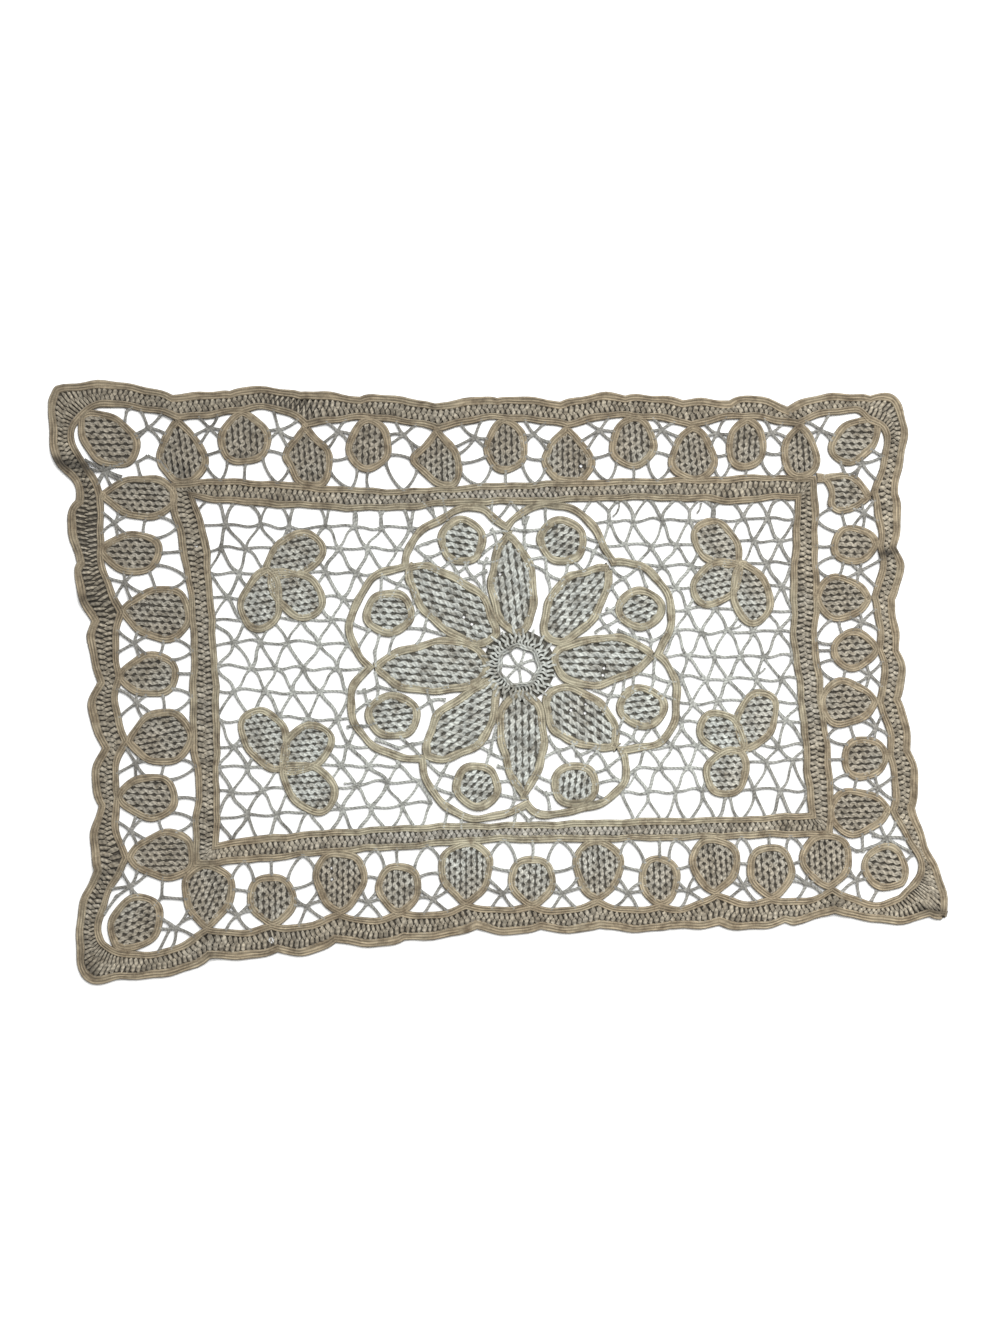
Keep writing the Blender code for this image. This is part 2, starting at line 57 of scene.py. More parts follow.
# %% Grid and sizes
GRID = 0.5
MIDDLE_COLUMN = 498.0
MIDDLE_ROW = 683.0
METRE = 0.001
draw = random.Random(8)


def place(column, row):
    """A point of the tables, in millimetres."""
    return Vector(((column - MIDDLE_COLUMN) * GRID, (MIDDLE_ROW - row) * GRID))


def towards(heading):
    """The direction of a heading in degrees, counted anticlockwise from the right."""
    return Vector((math.cos(math.radians(heading)), math.sin(math.radians(heading))))


print("one grid step in millimetres:", GRID)

# %% [markdown]
# ## The camera
# The doily lies flat and is seen from straight above. A long lens from over a metre away keeps its sides
# true.

# %% Camera
PICTURE_MIDDLE = place(500, 666.5)
PICTURE_TALL = 666.5 * METRE
CAMERA_HEIGHT = 1.2
SENSOR = 36.0
bpy.ops.object.select_all(action="DESELECT")
bpy.ops.object.camera_add(location=(*(PICTURE_MIDDLE * METRE), CAMERA_HEIGHT), rotation=(0, 0, 0))
camera = bpy.context.object
camera.data.sensor_width = SENSOR
camera.data.lens = SENSOR * CAMERA_HEIGHT / PICTURE_TALL
bpy.context.scene.camera = camera
print("lens in millimetres:", round(camera.data.lens, 1))

# %% [markdown]
# ## The pattern's outlines
# These are the lines that the tapes follow. The solids were cut from them too, before the ring and one
# corner were measured again. Each row is a column and a row, with True where the tape turns sharply, as it
# does at the notch between two scallops.

# %% Outlines of the tapes
BORDER_OUTER = [
    (48.5, 410), (50, 396), (57, 386), (98, 381.3), (140, 385), (173, 395.3, True), (213, 390.8),
    (230, 392, True), (260, 385.8), (301, 393, True), (325, 391.5), (360, 397.5, True), (387, 394.5),
    (435, 404.2, True), (478, 396.7), (497, 399, True), (523, 396), (560, 402.5, True), (602, 392.5),
    (625, 396, True), (653, 394.5), (683, 400, True), (705, 398.8), (729, 400.5, True), (750, 395.3),
    (787, 406, True), (815, 396), (850, 393), (870, 396, True), (890, 394), (903, 408), (907.5, 430),
    (903, 462), (898, 494, True), (900.5, 522), (897.5, 547, True), (903.3, 567), (894.5, 600, True),
    (897.5, 625), (899.4, 650, True), (906, 672), (899.4, 699, True), (909, 724), (911, 750, True),
    (918, 778), (915, 808, True), (928, 846), (941, 873), (948, 911), (944, 919), (929, 917, True),
    (890, 924), (834, 912.5, True), (797, 924.6), (785, 923.3, True), (747, 930.5), (719, 925.3, True),
    (692, 929.2), (670, 928.7, True), (632, 932.2), (600, 927.5, True), (563, 933.3), (541, 929.7, True),
    (503, 934.8), (477, 929.2, True), (425, 940.8), (405, 940, True), (373, 947), (336, 942, True),
    (303, 956), (278, 952.7, True), (243, 959.3), (211, 958.5, True), (171, 976), (121, 980), (93, 984.3),
    (81, 974), (75.7, 940), (79.4, 906), (94.6, 870, True), (91, 837), (98, 806, True), (92, 778),
    (101, 748, True), (88.8, 707), (96.3, 682, True), (88, 640), (90.3, 621.5, True), (80, 600),
    (74.7, 573), (76.7, 563, True), (67.8, 518), (75.8, 500, True), (71, 480), (56, 464), (49.5, 440),
]
BORDER_INNER = [
    (98, 409), (118, 408), (150, 413), (178, 421, True), (213, 417.5), (243, 414, True), (272, 411),
    (305, 428, True), (335, 423), (369, 421, True), (395, 423), (437, 432, True), (475, 423),
    (505, 421, True), (533, 423), (567, 429, True), (602, 420), (633, 420, True), (660, 421),
    (691, 430, True), (720, 421), (745, 420, True), (765, 421.5), (798, 428, True), (820, 418),
    (855, 413.5), (866, 422), (880, 430), (884, 445), (880, 463), (870, 492, True), (877, 525),
    (876, 546, True), (879, 570), (870, 597, True), (876.5, 628), (877, 650, True), (880.5, 676),
    (876, 701, True), (886, 735), (887, 757, True), (892, 783), (889, 810, True), (901, 832), (914, 856),
    (917.5, 871), (913, 881), (905, 888), (897, 896), (880, 901), (857, 897.5), (832, 885.5, True),
    (801, 898), (771, 896, True), (745, 900), (716, 891.5, True), (682, 905), (659, 904, True), (628, 906),
    (598, 899, True), (562, 907), (532, 904, True), (500, 906), (466, 903, True), (436, 911),
    (401, 910, True), (370, 917), (340, 911, True), (298, 924), (272, 923, True), (240, 929),
    (207, 926, True), (190, 937), (164, 949), (135, 951.5), (106, 942), (101, 930), (107, 906), (123, 872),
    (130, 858, True), (119.5, 825), (121, 797, True), (120, 768), (129, 742, True), (119.5, 705),
    (122, 677, True), (119.5, 645), (124, 612, True), (109, 575), (103, 553, True), (104.5, 522),
    (104, 496, True), (90, 466), (76, 443), (77, 424),
]
FRAME_OUTER = [
    (172, 483, True), (200, 479), (250, 479.5), (320, 485), (400, 488.5), (480, 484), (580, 480),
    (700, 477), (780, 474.5), (815, 477, True), (819, 518), (817, 540), (820, 585), (818, 640), (823, 688),
    (828, 730), (833, 780), (833, 837, True), (760, 838), (700, 840), (600, 842), (480, 843), (420, 848.5),
    (340, 854), (260, 862), (193, 867, True), (193, 825), (195.5, 785), (190, 735), (190.5, 680),
    (190, 620), (179.5, 545), (170, 505),
]
FRAME_INNER = [
    (197, 500, True), (235, 504.5), (300, 508.5), (370, 511.5), (420, 509), (460, 505.5), (540, 504.5),
    (620, 501), (700, 502), (730, 504.5), (760, 502), (795, 500, True), (792, 545), (790, 600), (791, 645),
    (798, 700), (804, 770), (808, 812, True), (740, 816), (640, 818.5), (540, 821.5), (440, 823.5),
    (370, 827), (300, 832), (220, 841, True), (220, 780), (219.5, 700), (215, 620), (208, 540),
]
RING_MIDDLE = [
    (507, 527, True), (516, 518), (529, 509), (545, 505), (560, 505), (575, 511), (590, 523), (602, 542),
    (613, 563, True), (628, 563), (644, 568), (658, 579), (667, 594), (671, 612), (669, 632),
    (657, 655, True), (669, 668), (676, 684), (677, 702), (673, 723), (662, 741), (642, 748),
    (620, 749, True), (626, 765), (624, 783), (611, 797), (590, 806), (568, 812), (545, 815),
    (527, 804, True), (508, 813), (483, 818), (461, 815), (443, 804), (430, 787), (422, 759, True),
    (404, 758), (384, 751), (366, 739), (354, 723), (351, 700), (356, 683), (369, 667, True), (356, 650),
    (350, 630), (352, 612), (361, 596), (371, 580), (388, 571), (405, 566, True), (408, 551), (416, 537),
    (430, 525), (448, 515), (464, 508), (480, 509), (493, 517),
]
print("points on the tape lines:", len(BORDER_OUTER + BORDER_INNER + FRAME_OUTER + FRAME_INNER + RING_MIDDLE))

# %% [markdown]
# Between border and frame hang twenty leaves and twenty discs. Each row has the kind, the tip (column,
# row), the heading from the tip, length, breadth, the thread crossing before the next motif (column, row),
# and where the thread between the two is caught on the frame, or None at a corner.

# %% Motifs of the border
BORDER_MOTIFS = [
    ("disc", 83, 418, -40, 68, 50, 148, 428, None),
    ("leaf", 178, 421, -84, 64, 54, 210, 428, (221, 478)),
    ("disc", 243, 415, -87, 51, 54, 279, 430, (278, 480)),
    ("leaf", 305, 428, -87, 62, 52, 338, 432, (352, 485)),
    ("disc", 369, 421, -90, 51, 47, 404, 435, (403, 486)),
    ("leaf", 437, 432, -90, 60, 55, 475, 437, (480, 483)),
    ("disc", 506, 422, -90, 51, 46, 534, 434, (534, 480)),
    ("leaf", 567, 429, -90, 58, 56, 600, 430, (608, 478)),
    ("disc", 633, 419, -90, 50, 49, 662, 430, (657, 478)),
    ("leaf", 692, 429, -88, 54, 49, 718, 434, (721, 475)),
    ("disc", 746, 421, -90, 50, 42, 771, 433, (773, 474)),
    ("leaf", 799, 427, -88, 54, 39, 820, 430, None),
    ("disc", 876, 424, -142, 56, 42, 862, 463, None),
    ("leaf", 868, 491, 178, 44, 44, 864, 513, (820, 520)),
    ("disc", 874, 545, 180, 43, 42, 860, 571, (820, 566)),
    ("leaf", 868, 598, 180, 54, 48, 862, 622, (820, 640)),
    ("disc", 875, 650, 180, 45, 42, 869, 674, (822, 664)),
    ("leaf", 874, 702, 182, 56, 50, 876, 728, (829, 737)),
    ("disc", 885, 757, 183, 44, 46, 878, 787, (832, 783)),
    ("leaf", 887, 810, 184, 60, 50, 886, 838, None),
    ("disc", 901, 883, 135, 47, 46, 857, 880, None),
    ("leaf", 829, 886, 96, 54, 54, 806, 884, (790, 839)),
    ("disc", 771, 895, 91, 51, 50, 744, 886, (741, 840)),
    ("leaf", 716, 891, 93, 55, 52, 688, 891, (675, 842)),
    ("disc", 659, 903, 89, 48, 43, 628, 893, (629, 842)),
    ("leaf", 598, 898, 90, 60, 52, 562, 893, (559, 843)),
    ("disc", 532, 903, 90, 47, 50, 503, 893, (504, 843)),
    ("leaf", 466, 902, 90, 62, 56, 433, 899, (428, 849)),
    ("disc", 400, 910, 93, 47, 48, 368, 902, (376, 850)),
    ("leaf", 340, 911, 90, 62, 55, 307, 906, (303, 859)),
    ("disc", 272, 923, 90, 50, 50, 238, 915, (245, 865)),
    ("leaf", 207, 925, 88, 63, 54, 176, 928, None),
    ("disc", 117, 945, 50, 60, 52, 131, 886, None),
    ("leaf", 131, 857, 3, 66, 52, 131, 831, (193, 820)),
    ("disc", 121, 796, -2, 58, 48, 136, 763, (193, 767)),
    ("leaf", 130, 742, 8, 64, 58, 137, 703, (190, 696)),
    ("disc", 122, 677, 4, 58, 46, 135, 643, (190, 651)),
    ("leaf", 125, 612, -3, 68, 57, 125, 582, (184, 578)),
    ("disc", 104, 553, 0, 59, 45, 115, 523, (177, 527)),
    ("leaf", 104, 496, -2, 74, 46, 105, 470, None),
]
print("motifs of the border:", len(BORDER_MOTIFS))

# %% [markdown]
# Four leaves of the top row hang askew from their tips, and one at the top of the right side reaches over
# to the frame's corner. Their outlines are listed point by point from the tip, each under its leaf's place
# above.

# %% Leaves that hang askew
ASKEW_LEAVES = {
    (178, 421): [
        (178, 416), (192, 430), (203, 443), (208, 457), (205, 472), (196, 483), (183, 486), (171, 482),
        (161, 469), (156, 456), (159, 442), (167, 430),
    ],
    (305, 428): [
        (305, 423), (319, 436), (329, 448), (333, 462), (331, 477), (323, 488), (310, 489), (298, 484),
        (288, 470), (282, 457), (287, 445), (296, 434),
    ],
    (437, 432): [
        (437, 427), (449, 439), (458, 450), (463, 463), (461, 477), (454, 488), (445, 490), (436, 487),
        (424, 477), (413, 466), (411, 457), (419, 446), (428, 437),
    ],
    (567, 429): [
        (567, 424), (579, 436), (589, 447), (594, 460), (592, 473), (584, 483), (571, 484), (556, 482),
        (546, 471), (540, 460), (546, 446), (556, 435),
    ],
    (868, 491): [
        (873, 496), (864, 484), (854, 476), (843, 472), (830, 473), (817, 478), (824, 484), (828, 493),
        (829, 506), (839, 514), (852, 513), (863, 506),
    ],
}
print("leaves that hang askew:", len(ASKEW_LEAVES))

# %% [markdown]
# Inside the frame are four three-leaved sprays, and a flower of eight petals in a looped ring with a small
# disc in each loop.

# %% Sprays, flower and ring
# Each spray leaf: its spray, its tip (column, row), the heading from the tip, length and breadth
TREFOIL_LEAVES = [
    ("trefoil_top_left", 262, 573, 28, 70, 45),
    ("trefoil_top_left", 268, 572, -37, 68, 46),
    ("trefoil_top_left", 269, 566, -102, 68, 45),
    ("trefoil_bottom_left", 284, 772, 119, 72, 48),
    ("trefoil_bottom_left", 280, 772, 42, 66, 46),
    ("trefoil_bottom_left", 282, 764, -40, 68, 47),
    ("trefoil_top_right", 741, 564, 140, 60, 44),
    ("trefoil_top_right", 742, 562, -141, 62, 44),
    ("trefoil_top_right", 742, 560, -76, 68, 43),
    ("trefoil_bottom_right", 744, 752, 70, 66, 44),
    ("trefoil_bottom_right", 746, 752, 142, 58, 42),
    ("trefoil_bottom_right", 743, 748, -124, 55, 46),
]
FLOWER_COLUMN = 519.0
FLOWER_ROW = 666.0
# Each petal: the heading of its rows of stitches, and its edge from the tip round and back
PETALS = [
    (-84, [(507, 530), (515, 536), (524, 546), (531, 559), (536, 576), (538, 595), (536, 612), (529, 629),
           (517, 637), (505, 632), (496, 620), (491, 603), (487, 585), (489, 567), (494, 551), (500, 539)]),
    (50, [(611, 566), (613, 578), (610, 592), (604, 607), (596, 620), (586, 632), (573, 641), (559, 646),
          (547, 642), (540, 630), (541, 613), (547, 597), (556, 584), (568, 573), (582, 568), (597, 565)]),
    (3, [(656, 656), (643, 670), (630, 678), (614, 685), (595, 689), (575, 687), (558, 678), (551, 663),
         (556, 648), (571, 640), (588, 636), (605, 634), (622, 635), (637, 639), (649, 647)]),
    (-38, [(619, 749), (620, 735), (617, 722), (608, 707), (596, 695), (580, 687), (562, 684), (549, 688),
           (542, 701), (545, 718), (551, 732), (561, 741), (573, 746), (590, 750), (605, 751)]),
    (-88, [(524, 800), (534, 788), (541, 772), (546, 755), (548, 735), (545, 714), (537, 698), (519, 690),
           (504, 698), (497, 715), (497, 735), (500, 755), (506, 773), (514, 788)]),
    (32, [(424, 759), (443, 763), (462, 758), (478, 749), (489, 737), (496, 722), (500, 704), (499, 688),
          (489, 678), (475, 684), (460, 694), (446, 703), (434, 714), (427, 728), (423, 744)]),
    (1, [(372, 667), (381, 679), (396, 689), (415, 693), (440, 695), (465, 691), (484, 681), (490, 665),
         (483, 648), (465, 640), (445, 637), (422, 641), (402, 647), (385, 655)]),
    (-14, [(406, 564), (405, 578), (410, 594), (418, 608), (428, 620), (440, 631), (454, 640), (470, 646),
           (487, 646), (500, 636), (497, 619), (490, 602), (480, 589), (466, 580), (449, 570), (428, 563)]),
]
# Each ring disc: column, row, breadth, height, and the heading of its rows of stitches
RING_DISCS = [
    (462, 541, 50, 49, -8),
    (562, 541, 50, 50, 45),
    (640, 609, 49, 45, 22),
    (642, 707, 51, 46, 12),
    (575, 785, 51, 46, 80),
    (477, 786, 50, 48, 50),
    (393, 716, 55, 49, 2),
    (389, 613, 52, 48, -4),
]
# A border motif's tip goes this many grid steps under the border's tape
TIP_REACH = 4.5
# How sharply each kind is drawn in towards its tip
LEAF_POINT = 0.45
DISC_POINT = 0.25
SPRAY_POINT = 0.35
print("petals, spray leaves and ring discs:", len(PETALS), len(TREFOIL_LEAVES), len(RING_DISCS))

# %% [markdown]
# A tape bends smoothly along a scallop and turns at the notch, so a line through a table's points is smooth
# in each run and sharp between runs. A leaf or disc is a drop: an ellipse that is drawn in towards its tip.
# No hand lays a tape quite true, so every line then sways a little.

# %% Smooth lines and drops
CURVE_STEPS = 6
DROP_STEPS = 44
# At a sharp turn a moved line goes out no further than its distance divided by this
LEAST_LEAN = 0.45
# How far and over what lengths a hand-laid tape sways, in millimetres
SWAY = 0.3
SWAY_LENGTHS = (33, 17)


def smooth_run(points):
    """A smooth line through the points of one run, without its last point."""
    slopes = [None] * len(points)
    for i in range(1, len(points) - 1):
        reach = (points[i] - points[i - 1]).length + (points[i + 1] - points[i]).length
        slopes[i] = (points[i + 1] - points[i - 1]) / reach
    slopes[0] = 2 * (points[1] - points[0]).normalized() - slopes[1]
    slopes[-1] = 2 * (points[-1] - points[-2]).normalized() - slopes[-2]
    line = []
    for i in range(len(points) - 1):
        span = (points[i + 1] - points[i]).length
        for step in range(CURVE_STEPS):
            t = step / CURVE_STEPS
            leave = t * (1 - t) * (1 - t) * span
            arrive = t * t * (t - 1) * span
            between = points[i].lerp(points[i + 1], t * t * (3 - 2 * t))
            line.append(between + slopes[i] * leave + slopes[i + 1] * arrive)
    return line


def anticlockwise(outline):
    """The outline with its inside on the left."""
    twice_area = sum(outline[i - 1].cross(outline[i]) for i in range(len(outline)))
    return outline if twice_area > 0 else outline[::-1]


def edge_line(rows):
    """The closed line through a table's points."""
    first = next(i for i, row in enumerate(rows) if len(row) > 2)
    rows = rows[first:] + rows[:first + 1]
    points = [place(*row[:2]) for row in rows]
    turns = [i for i, row in enumerate(rows) if len(row) > 2]
    line = []
    for start, end in zip(turns, turns[1:]):
        line += smooth_run(points[start:end + 1])
    return anticlockwise(line)


def grown(outline, by):
    """The anticlockwise outline moved outwards by a distance, or inwards where it is negative."""
    moved = []
    for i, here in enumerate(outline):
        arriving = (here - outline[i - 1]).normalized()
        leaving = (outline[(i + 1) % len(outline)] - here).normalized()
        out_before = Vector((arriving.y, -arriving.x))
        out = (out_before + Vector((leaving.y, -leaving.x))).normalized()
        moved.append(here + out * by / max(out.dot(out_before), LEAST_LEAN))
    return moved


def drop(column, row, heading, length, breadth, point):
    """A leaf or disc: pointed at its tip, round at its other end."""
    tip, along, across = place(column, row), towards(heading), towards(heading + 90)
    widest = (1 + point) / (2 + point)
    fullness = 2 * widest ** ((1 + point) / 2) * math.sqrt(1 - widest)
    outline = []
    for i in range(DROP_STEPS):
        turn = 2 * math.pi * i / DROP_STEPS
        forward = length * GRID * (1 - math.cos(turn)) / 2
        sideways = breadth * GRID / 2 * math.sin(turn) * math.sin(turn / 2) ** point / fullness
        outline.append(tip + along * forward + across * sideways)
    return anticlockwise(outline)


def petal_line(points):
    """A closed line that is smooth but for its first point, the tip."""
    return anticlockwise(smooth_run([place(*point) for point in points + points[:1]]))


def uneven(outline):
    """The outline as a hand lays it, swaying a little out and in."""
    steps = [(outline[i] - outline[i - 1]).length for i in range(len(outline))]
    run = sum(steps)
    waves = [(round(run / length), draw.uniform(0, 2 * math.pi)) for length in SWAY_LENGTHS]
    swayed, turn = [], 0.0
    for here, out, step in zip(outline, grown(outline, 1.0), steps):
        turn += 2 * math.pi * step / run
        by = SWAY * sum(math.sin(count * turn + shift) for count, shift in waves)
        swayed.append(here + (out - here).normalized() * by)
    return swayed


def motif_outline(kind, column, row, heading, length, breadth, *_):
    """The outline of a border motif, with its tip under the border's tape."""
    if (column, row) in ASKEW_LEAVES:
        return petal_line(ASKEW_LEAVES[column, row])
    back = towards(heading) * TIP_REACH
    point = LEAF_POINT if kind == "leaf" else DISC_POINT
    return drop(column - back.x, row + back.y, heading, length + TIP_REACH, breadth, point)


border_outer, border_inner = uneven(edge_line(BORDER_OUTER)), uneven(edge_line(BORDER_INNER))
frame_outer, frame_inner = uneven(edge_line(FRAME_OUTER)), uneven(edge_line(FRAME_INNER))
ring_line = uneven(edge_line(RING_MIDDLE))
flower_middle = place(FLOWER_COLUMN, FLOWER_ROW)
motif_outlines = [uneven(motif_outline(*motif)) for motif in BORDER_MOTIFS]
spray_outlines = [uneven(drop(*row[1:], SPRAY_POINT)) for row in TREFOIL_LEAVES]
petal_outlines = [uneven(petal_line(points)) for _, points in PETALS]
ring_disc_outlines = [
    uneven(drop(column - wide / 2, row, 0, wide, tall, 0)) for column, row, wide, tall, _ in RING_DISCS
]
print("points on the border's edge:", len(border_outer))

# %% [markdown]
# ## Colours and materials
# The lace is old linen: the tape has aged to a brownish straw, the stitching thread is a cooler grey, and
# the sheet behind the stitches is painted dark in the colour of their shadow. Linen is matt, with a roughness
# of about 0.9 and an index of refraction of 1.53, and its loose fibres give a faint sheen. The centre is
# paler and greener than the border, which handling has browned.

# %% One function for colours and one for nodes
LINEN_IOR = 1.53
LINEN_ROUGHNESS = 0.9
LINEN_SPECULAR = 0.25
LINEN_SHEEN = 0.12
SHEEN_ROUGHNESS = 0.6


def linear(code):
    """An sRGB hex colour as linear red, green, blue and alpha."""
    parts = [int(code[i:i + 2], 16) / 255 for i in (1, 3, 5)]
    return (*(p / 12.92 if p <= 0.04045 else ((p + 0.055) / 1.055) ** 2.4 for p in parts), 1)


def add_node(tree, kind, settings=(), values=(), links=()):
    """Adds a node, sets its properties and sockets, and links other nodes' sockets to it."""
    made = tree.nodes.new(kind)
    for name, value in dict(settings).items():
        setattr(made, name, value)
    for name, value in dict(values).items():
        made.inputs[name].default_value = value
    for name, source in dict(links).items():
        tree.links.new(source, made.inputs[name])
    return made


print("straw of the tape, in linear light:", [round(part, 3) for part in linear("#a7a18b")[:3]])

# %% [markdown]
# One recipe serves all the linen, because it was all spun alike. An oval round the middle turns one shade
# into another, and broad noise makes its edge uneven. Finer noise is dirt. Painted light makes the whole
# cloth paler towards the lower right, and painted shade darkens it in its folds, along a few other lines and
# in the grooves between ribs and stitches, which each mesh carries as values on its points. Fine streaks run
# along each thread or tape on its own UV map, and a slanting wave is the twist of the plied thread, as colour
# and as bump. Streaks and twist repeat every one or two millimetres, a little coarser than real fibres, so
# that they show.

# %% Linen materials
# Half the doily's size, in metres
HALF_SIZE = (0.225, 0.15)
# How far out from the middle the two shades begin, as a share of the half size, and how far noise moves them
MIDDLE_SHADE_AT = 0.5
BORDER_SHADE_AT = 0.78
SHADE_DRIFT = 1.6
# Painted light: the way in which the cloth is painted paler, in metres, and its brightness at either end
PAINTED_LIGHT_WAY = (0.9, -1.1, 0.0)
PAINTED_LIGHT_REACH = 0.3
PAINTED_LIGHT_FROM = 0.84
PAINTED_LIGHT_TO = 1.23
# Noise patches to a metre: shades, dirt, and streaks along and across a thread
DRIFTS_PER_METRE = 32.0
SPOTS_PER_METRE = 190.0
STREAKS_PER_METRE = (110.0, 800.0, 1.0)
MOST_DIRT = 0.8
# How dark the painted fold shade and the darker lines make the colour
FOLD_SHADE_AND_MARK_DARKNESS = 0.75
BUMP_STRENGTH = 0.7


def linen(name, centre, border, dark, groove, contrast, twist, bump_depth):
    """A linen material: its three colours, how dark its grooves are painted, its streaks, its twist and its
    relief.

    The colours are at the centre, at the border and in dirt. twist is its scale, its slant in degrees and its
    darkness. bump_depth is in millimetres.
    """
    twist_scale, twist_turn, twist_shade = twist
    material = bpy.data.materials.new(name)
    material.use_nodes = True
    tree = material.node_tree
    shader = tree.nodes["Principled BSDF"]
    shader.inputs["Roughness"].default_value = LINEN_ROUGHNESS
    shader.inputs["IOR"].default_value = LINEN_IOR
    shader.inputs["Specular IOR Level"].default_value = LINEN_SPECULAR
    shader.inputs["Sheen Weight"].default_value = LINEN_SHEEN
    shader.inputs["Sheen Roughness"].default_value = SHEEN_ROUGHNESS
    where = add_node(tree, "ShaderNodeTexCoord")
    # The shade of the middle and that of the border, with an uneven edge between them
    shares = add_node(
        tree, "ShaderNodeVectorMath", {"operation": "MULTIPLY"},
        {1: (1 / HALF_SIZE[0], 1 / HALF_SIZE[1], 0)}, {0: where.outputs["Object"]},
    )
    reach = add_node(
        tree, "ShaderNodeVectorMath", {"operation": "LENGTH"}, links={0: shares.outputs["Vector"]},
    )
    outer = add_node(
        tree, "ShaderNodeMapRange",
        values={"From Min": MIDDLE_SHADE_AT, "From Max": BORDER_SHADE_AT},
        links={"Value": reach.outputs["Value"]},
    )
    drift = add_node(
        tree, "ShaderNodeTexNoise",
        values={"Scale": DRIFTS_PER_METRE, "Detail": 3.0, "Roughness": 0.6},
        links={"Vector": where.outputs["Object"]},
    )
    sway = add_node(
        tree, "ShaderNodeMath", {"operation": "MULTIPLY_ADD"}, {1: SHADE_DRIFT, 2: -SHADE_DRIFT / 2},
        {0: drift.outputs["Fac"]},
    )
    total = add_node(
        tree, "ShaderNodeMath", {"operation": "ADD", "use_clamp": True},
        links={0: outer.outputs["Result"], 1: sway.outputs["Value"]},
    )
    base = add_node(
        tree, "ShaderNodeMix", {"data_type": "RGBA"}, {6: linear(centre), 7: linear(border)},
        {0: total.outputs["Value"]},
    )
    # Spots of dirt
    grime = add_node(
        tree, "ShaderNodeTexNoise",
        values={"Scale": SPOTS_PER_METRE, "Detail": 4.0, "Roughness": 0.75},
        links={"Vector": where.outputs["Object"]},
    )
    patches = add_node(
        tree, "ShaderNodeMapRange",
        values={"From Min": 0.43, "From Max": 0.68, "To Max": MOST_DIRT},
        links={"Value": grime.outputs["Fac"]},
    )
    dirty = add_node(
        tree, "ShaderNodeMix", {"data_type": "RGBA"}, {7: linear(dark)},
        {0: patches.outputs["Result"], 6: base.outputs[2]},
    )
    # Streaks along the thread
    stretch = add_node(
        tree, "ShaderNodeMapping", values={"Scale": STREAKS_PER_METRE}, links={"Vector": where.outputs["UV"]},
    )
    streaks = add_node(
        tree, "ShaderNodeTexNoise",
        values={"Scale": 1.0, "Detail": 2.0},
        links={"Vector": stretch.outputs["Vector"]},
    )
    pale = add_node(
        tree, "ShaderNodeMapRange",
        values={"From Min": 0.3, "From Max": 0.7, "To Min": 1 - contrast, "To Max": 1 + contrast},
        links={"Value": streaks.outputs["Fac"]},
    )
    # Painted shade: folds, the other listed lines, and the grooves between ribs and stitches are painted
    # darker
    fold_shade_node = add_node(tree, "ShaderNodeAttribute", {"attribute_name": "fold_shade_and_marks"})
    shade = add_node(
        tree, "ShaderNodeMath", {"operation": "MULTIPLY_ADD"}, {1: -FOLD_SHADE_AND_MARK_DARKNESS, 2: 1.0},
        {0: fold_shade_node.outputs["Fac"]},
    )
    groove_shade_node = add_node(tree, "ShaderNodeAttribute", {"attribute_name": "painted_groove_shade"})
    grooves = add_node(
        tree, "ShaderNodeMath", {"operation": "MULTIPLY_ADD"}, {1: -groove, 2: 1.0}, {0: groove_shade_node.outputs["Fac"]},
    )
    # Painted light: the colour is painted paler towards the lower right, as light falls off across the cloth
    lower_right = add_node(
        tree, "ShaderNodeVectorMath", {"operation": "DOT_PRODUCT"},
        {1: PAINTED_LIGHT_WAY}, {0: where.outputs["Object"]},
    )
    painted_light_falloff = add_node(
        tree, "ShaderNodeMapRange",
        values={"From Min": -PAINTED_LIGHT_REACH, "From Max": PAINTED_LIGHT_REACH, "To Min": PAINTED_LIGHT_FROM, "To Max": PAINTED_LIGHT_TO},
        links={"Value": lower_right.outputs["Value"]},
    )
    # The twist of the plies
    slant = add_node(
        tree, "ShaderNodeMapping",
        values={"Rotation": (0, 0, math.radians(twist_turn))},
        links={"Vector": where.outputs["UV"]},
    )
    twisted = add_node(
        tree, "ShaderNodeTexWave",
        {"wave_type": "BANDS", "bands_direction": "X"},
        {"Scale": twist_scale, "Distortion": 1.2, "Detail": 1.0},
        {"Vector": slant.outputs["Vector"]},
    )
    plies = add_node(
        tree, "ShaderNodeMath", {"operation": "MULTIPLY_ADD"},
        {1: 2 * twist_shade, 2: 1 - twist_shade}, {0: twisted.outputs["Fac"]},
    )
    # All of these brighten or darken the colour
    light = pale.outputs["Result"]
    for factor in (
        shade.outputs["Value"], grooves.outputs["Value"], plies.outputs["Value"], painted_light_falloff.outputs["Result"],
    ):
        light = add_node(
            tree, "ShaderNodeMath", {"operation": "MULTIPLY"}, links={0: light, 1: factor},
        ).outputs["Value"]
    colour = add_node(
        tree, "ShaderNodeVectorMath", {"operation": "SCALE"},
        links={0: dirty.outputs[2], "Scale": light},
    )
    # Streaks and twist stand out as relief
    relief = add_node(
        tree, "ShaderNodeMath", {"operation": "ADD"},
        links={0: twisted.outputs["Fac"], 1: streaks.outputs["Fac"]},
    )
    bump = add_node(
        tree, "ShaderNodeBump", values={"Strength": BUMP_STRENGTH, "Distance": bump_depth * METRE},
        links={"Height": relief.outputs["Value"]},
    )
    tree.links.new(colour.outputs["Vector"], shader.inputs["Base Color"])
    tree.links.new(bump.outputs["Normal"], shader.inputs["Normal"])
    return material


# Woven linen tape: its ribs run lengthwise, so it shows fine lines along every outline.
tape_cloth = linen(
    "woven_linen_tape", "#a7a18b", "#978a73", "#5a4c3a",
    groove=0.62, contrast=0.36, twist=(300.0, 0.0, 0.0), bump_depth=0.06,
)
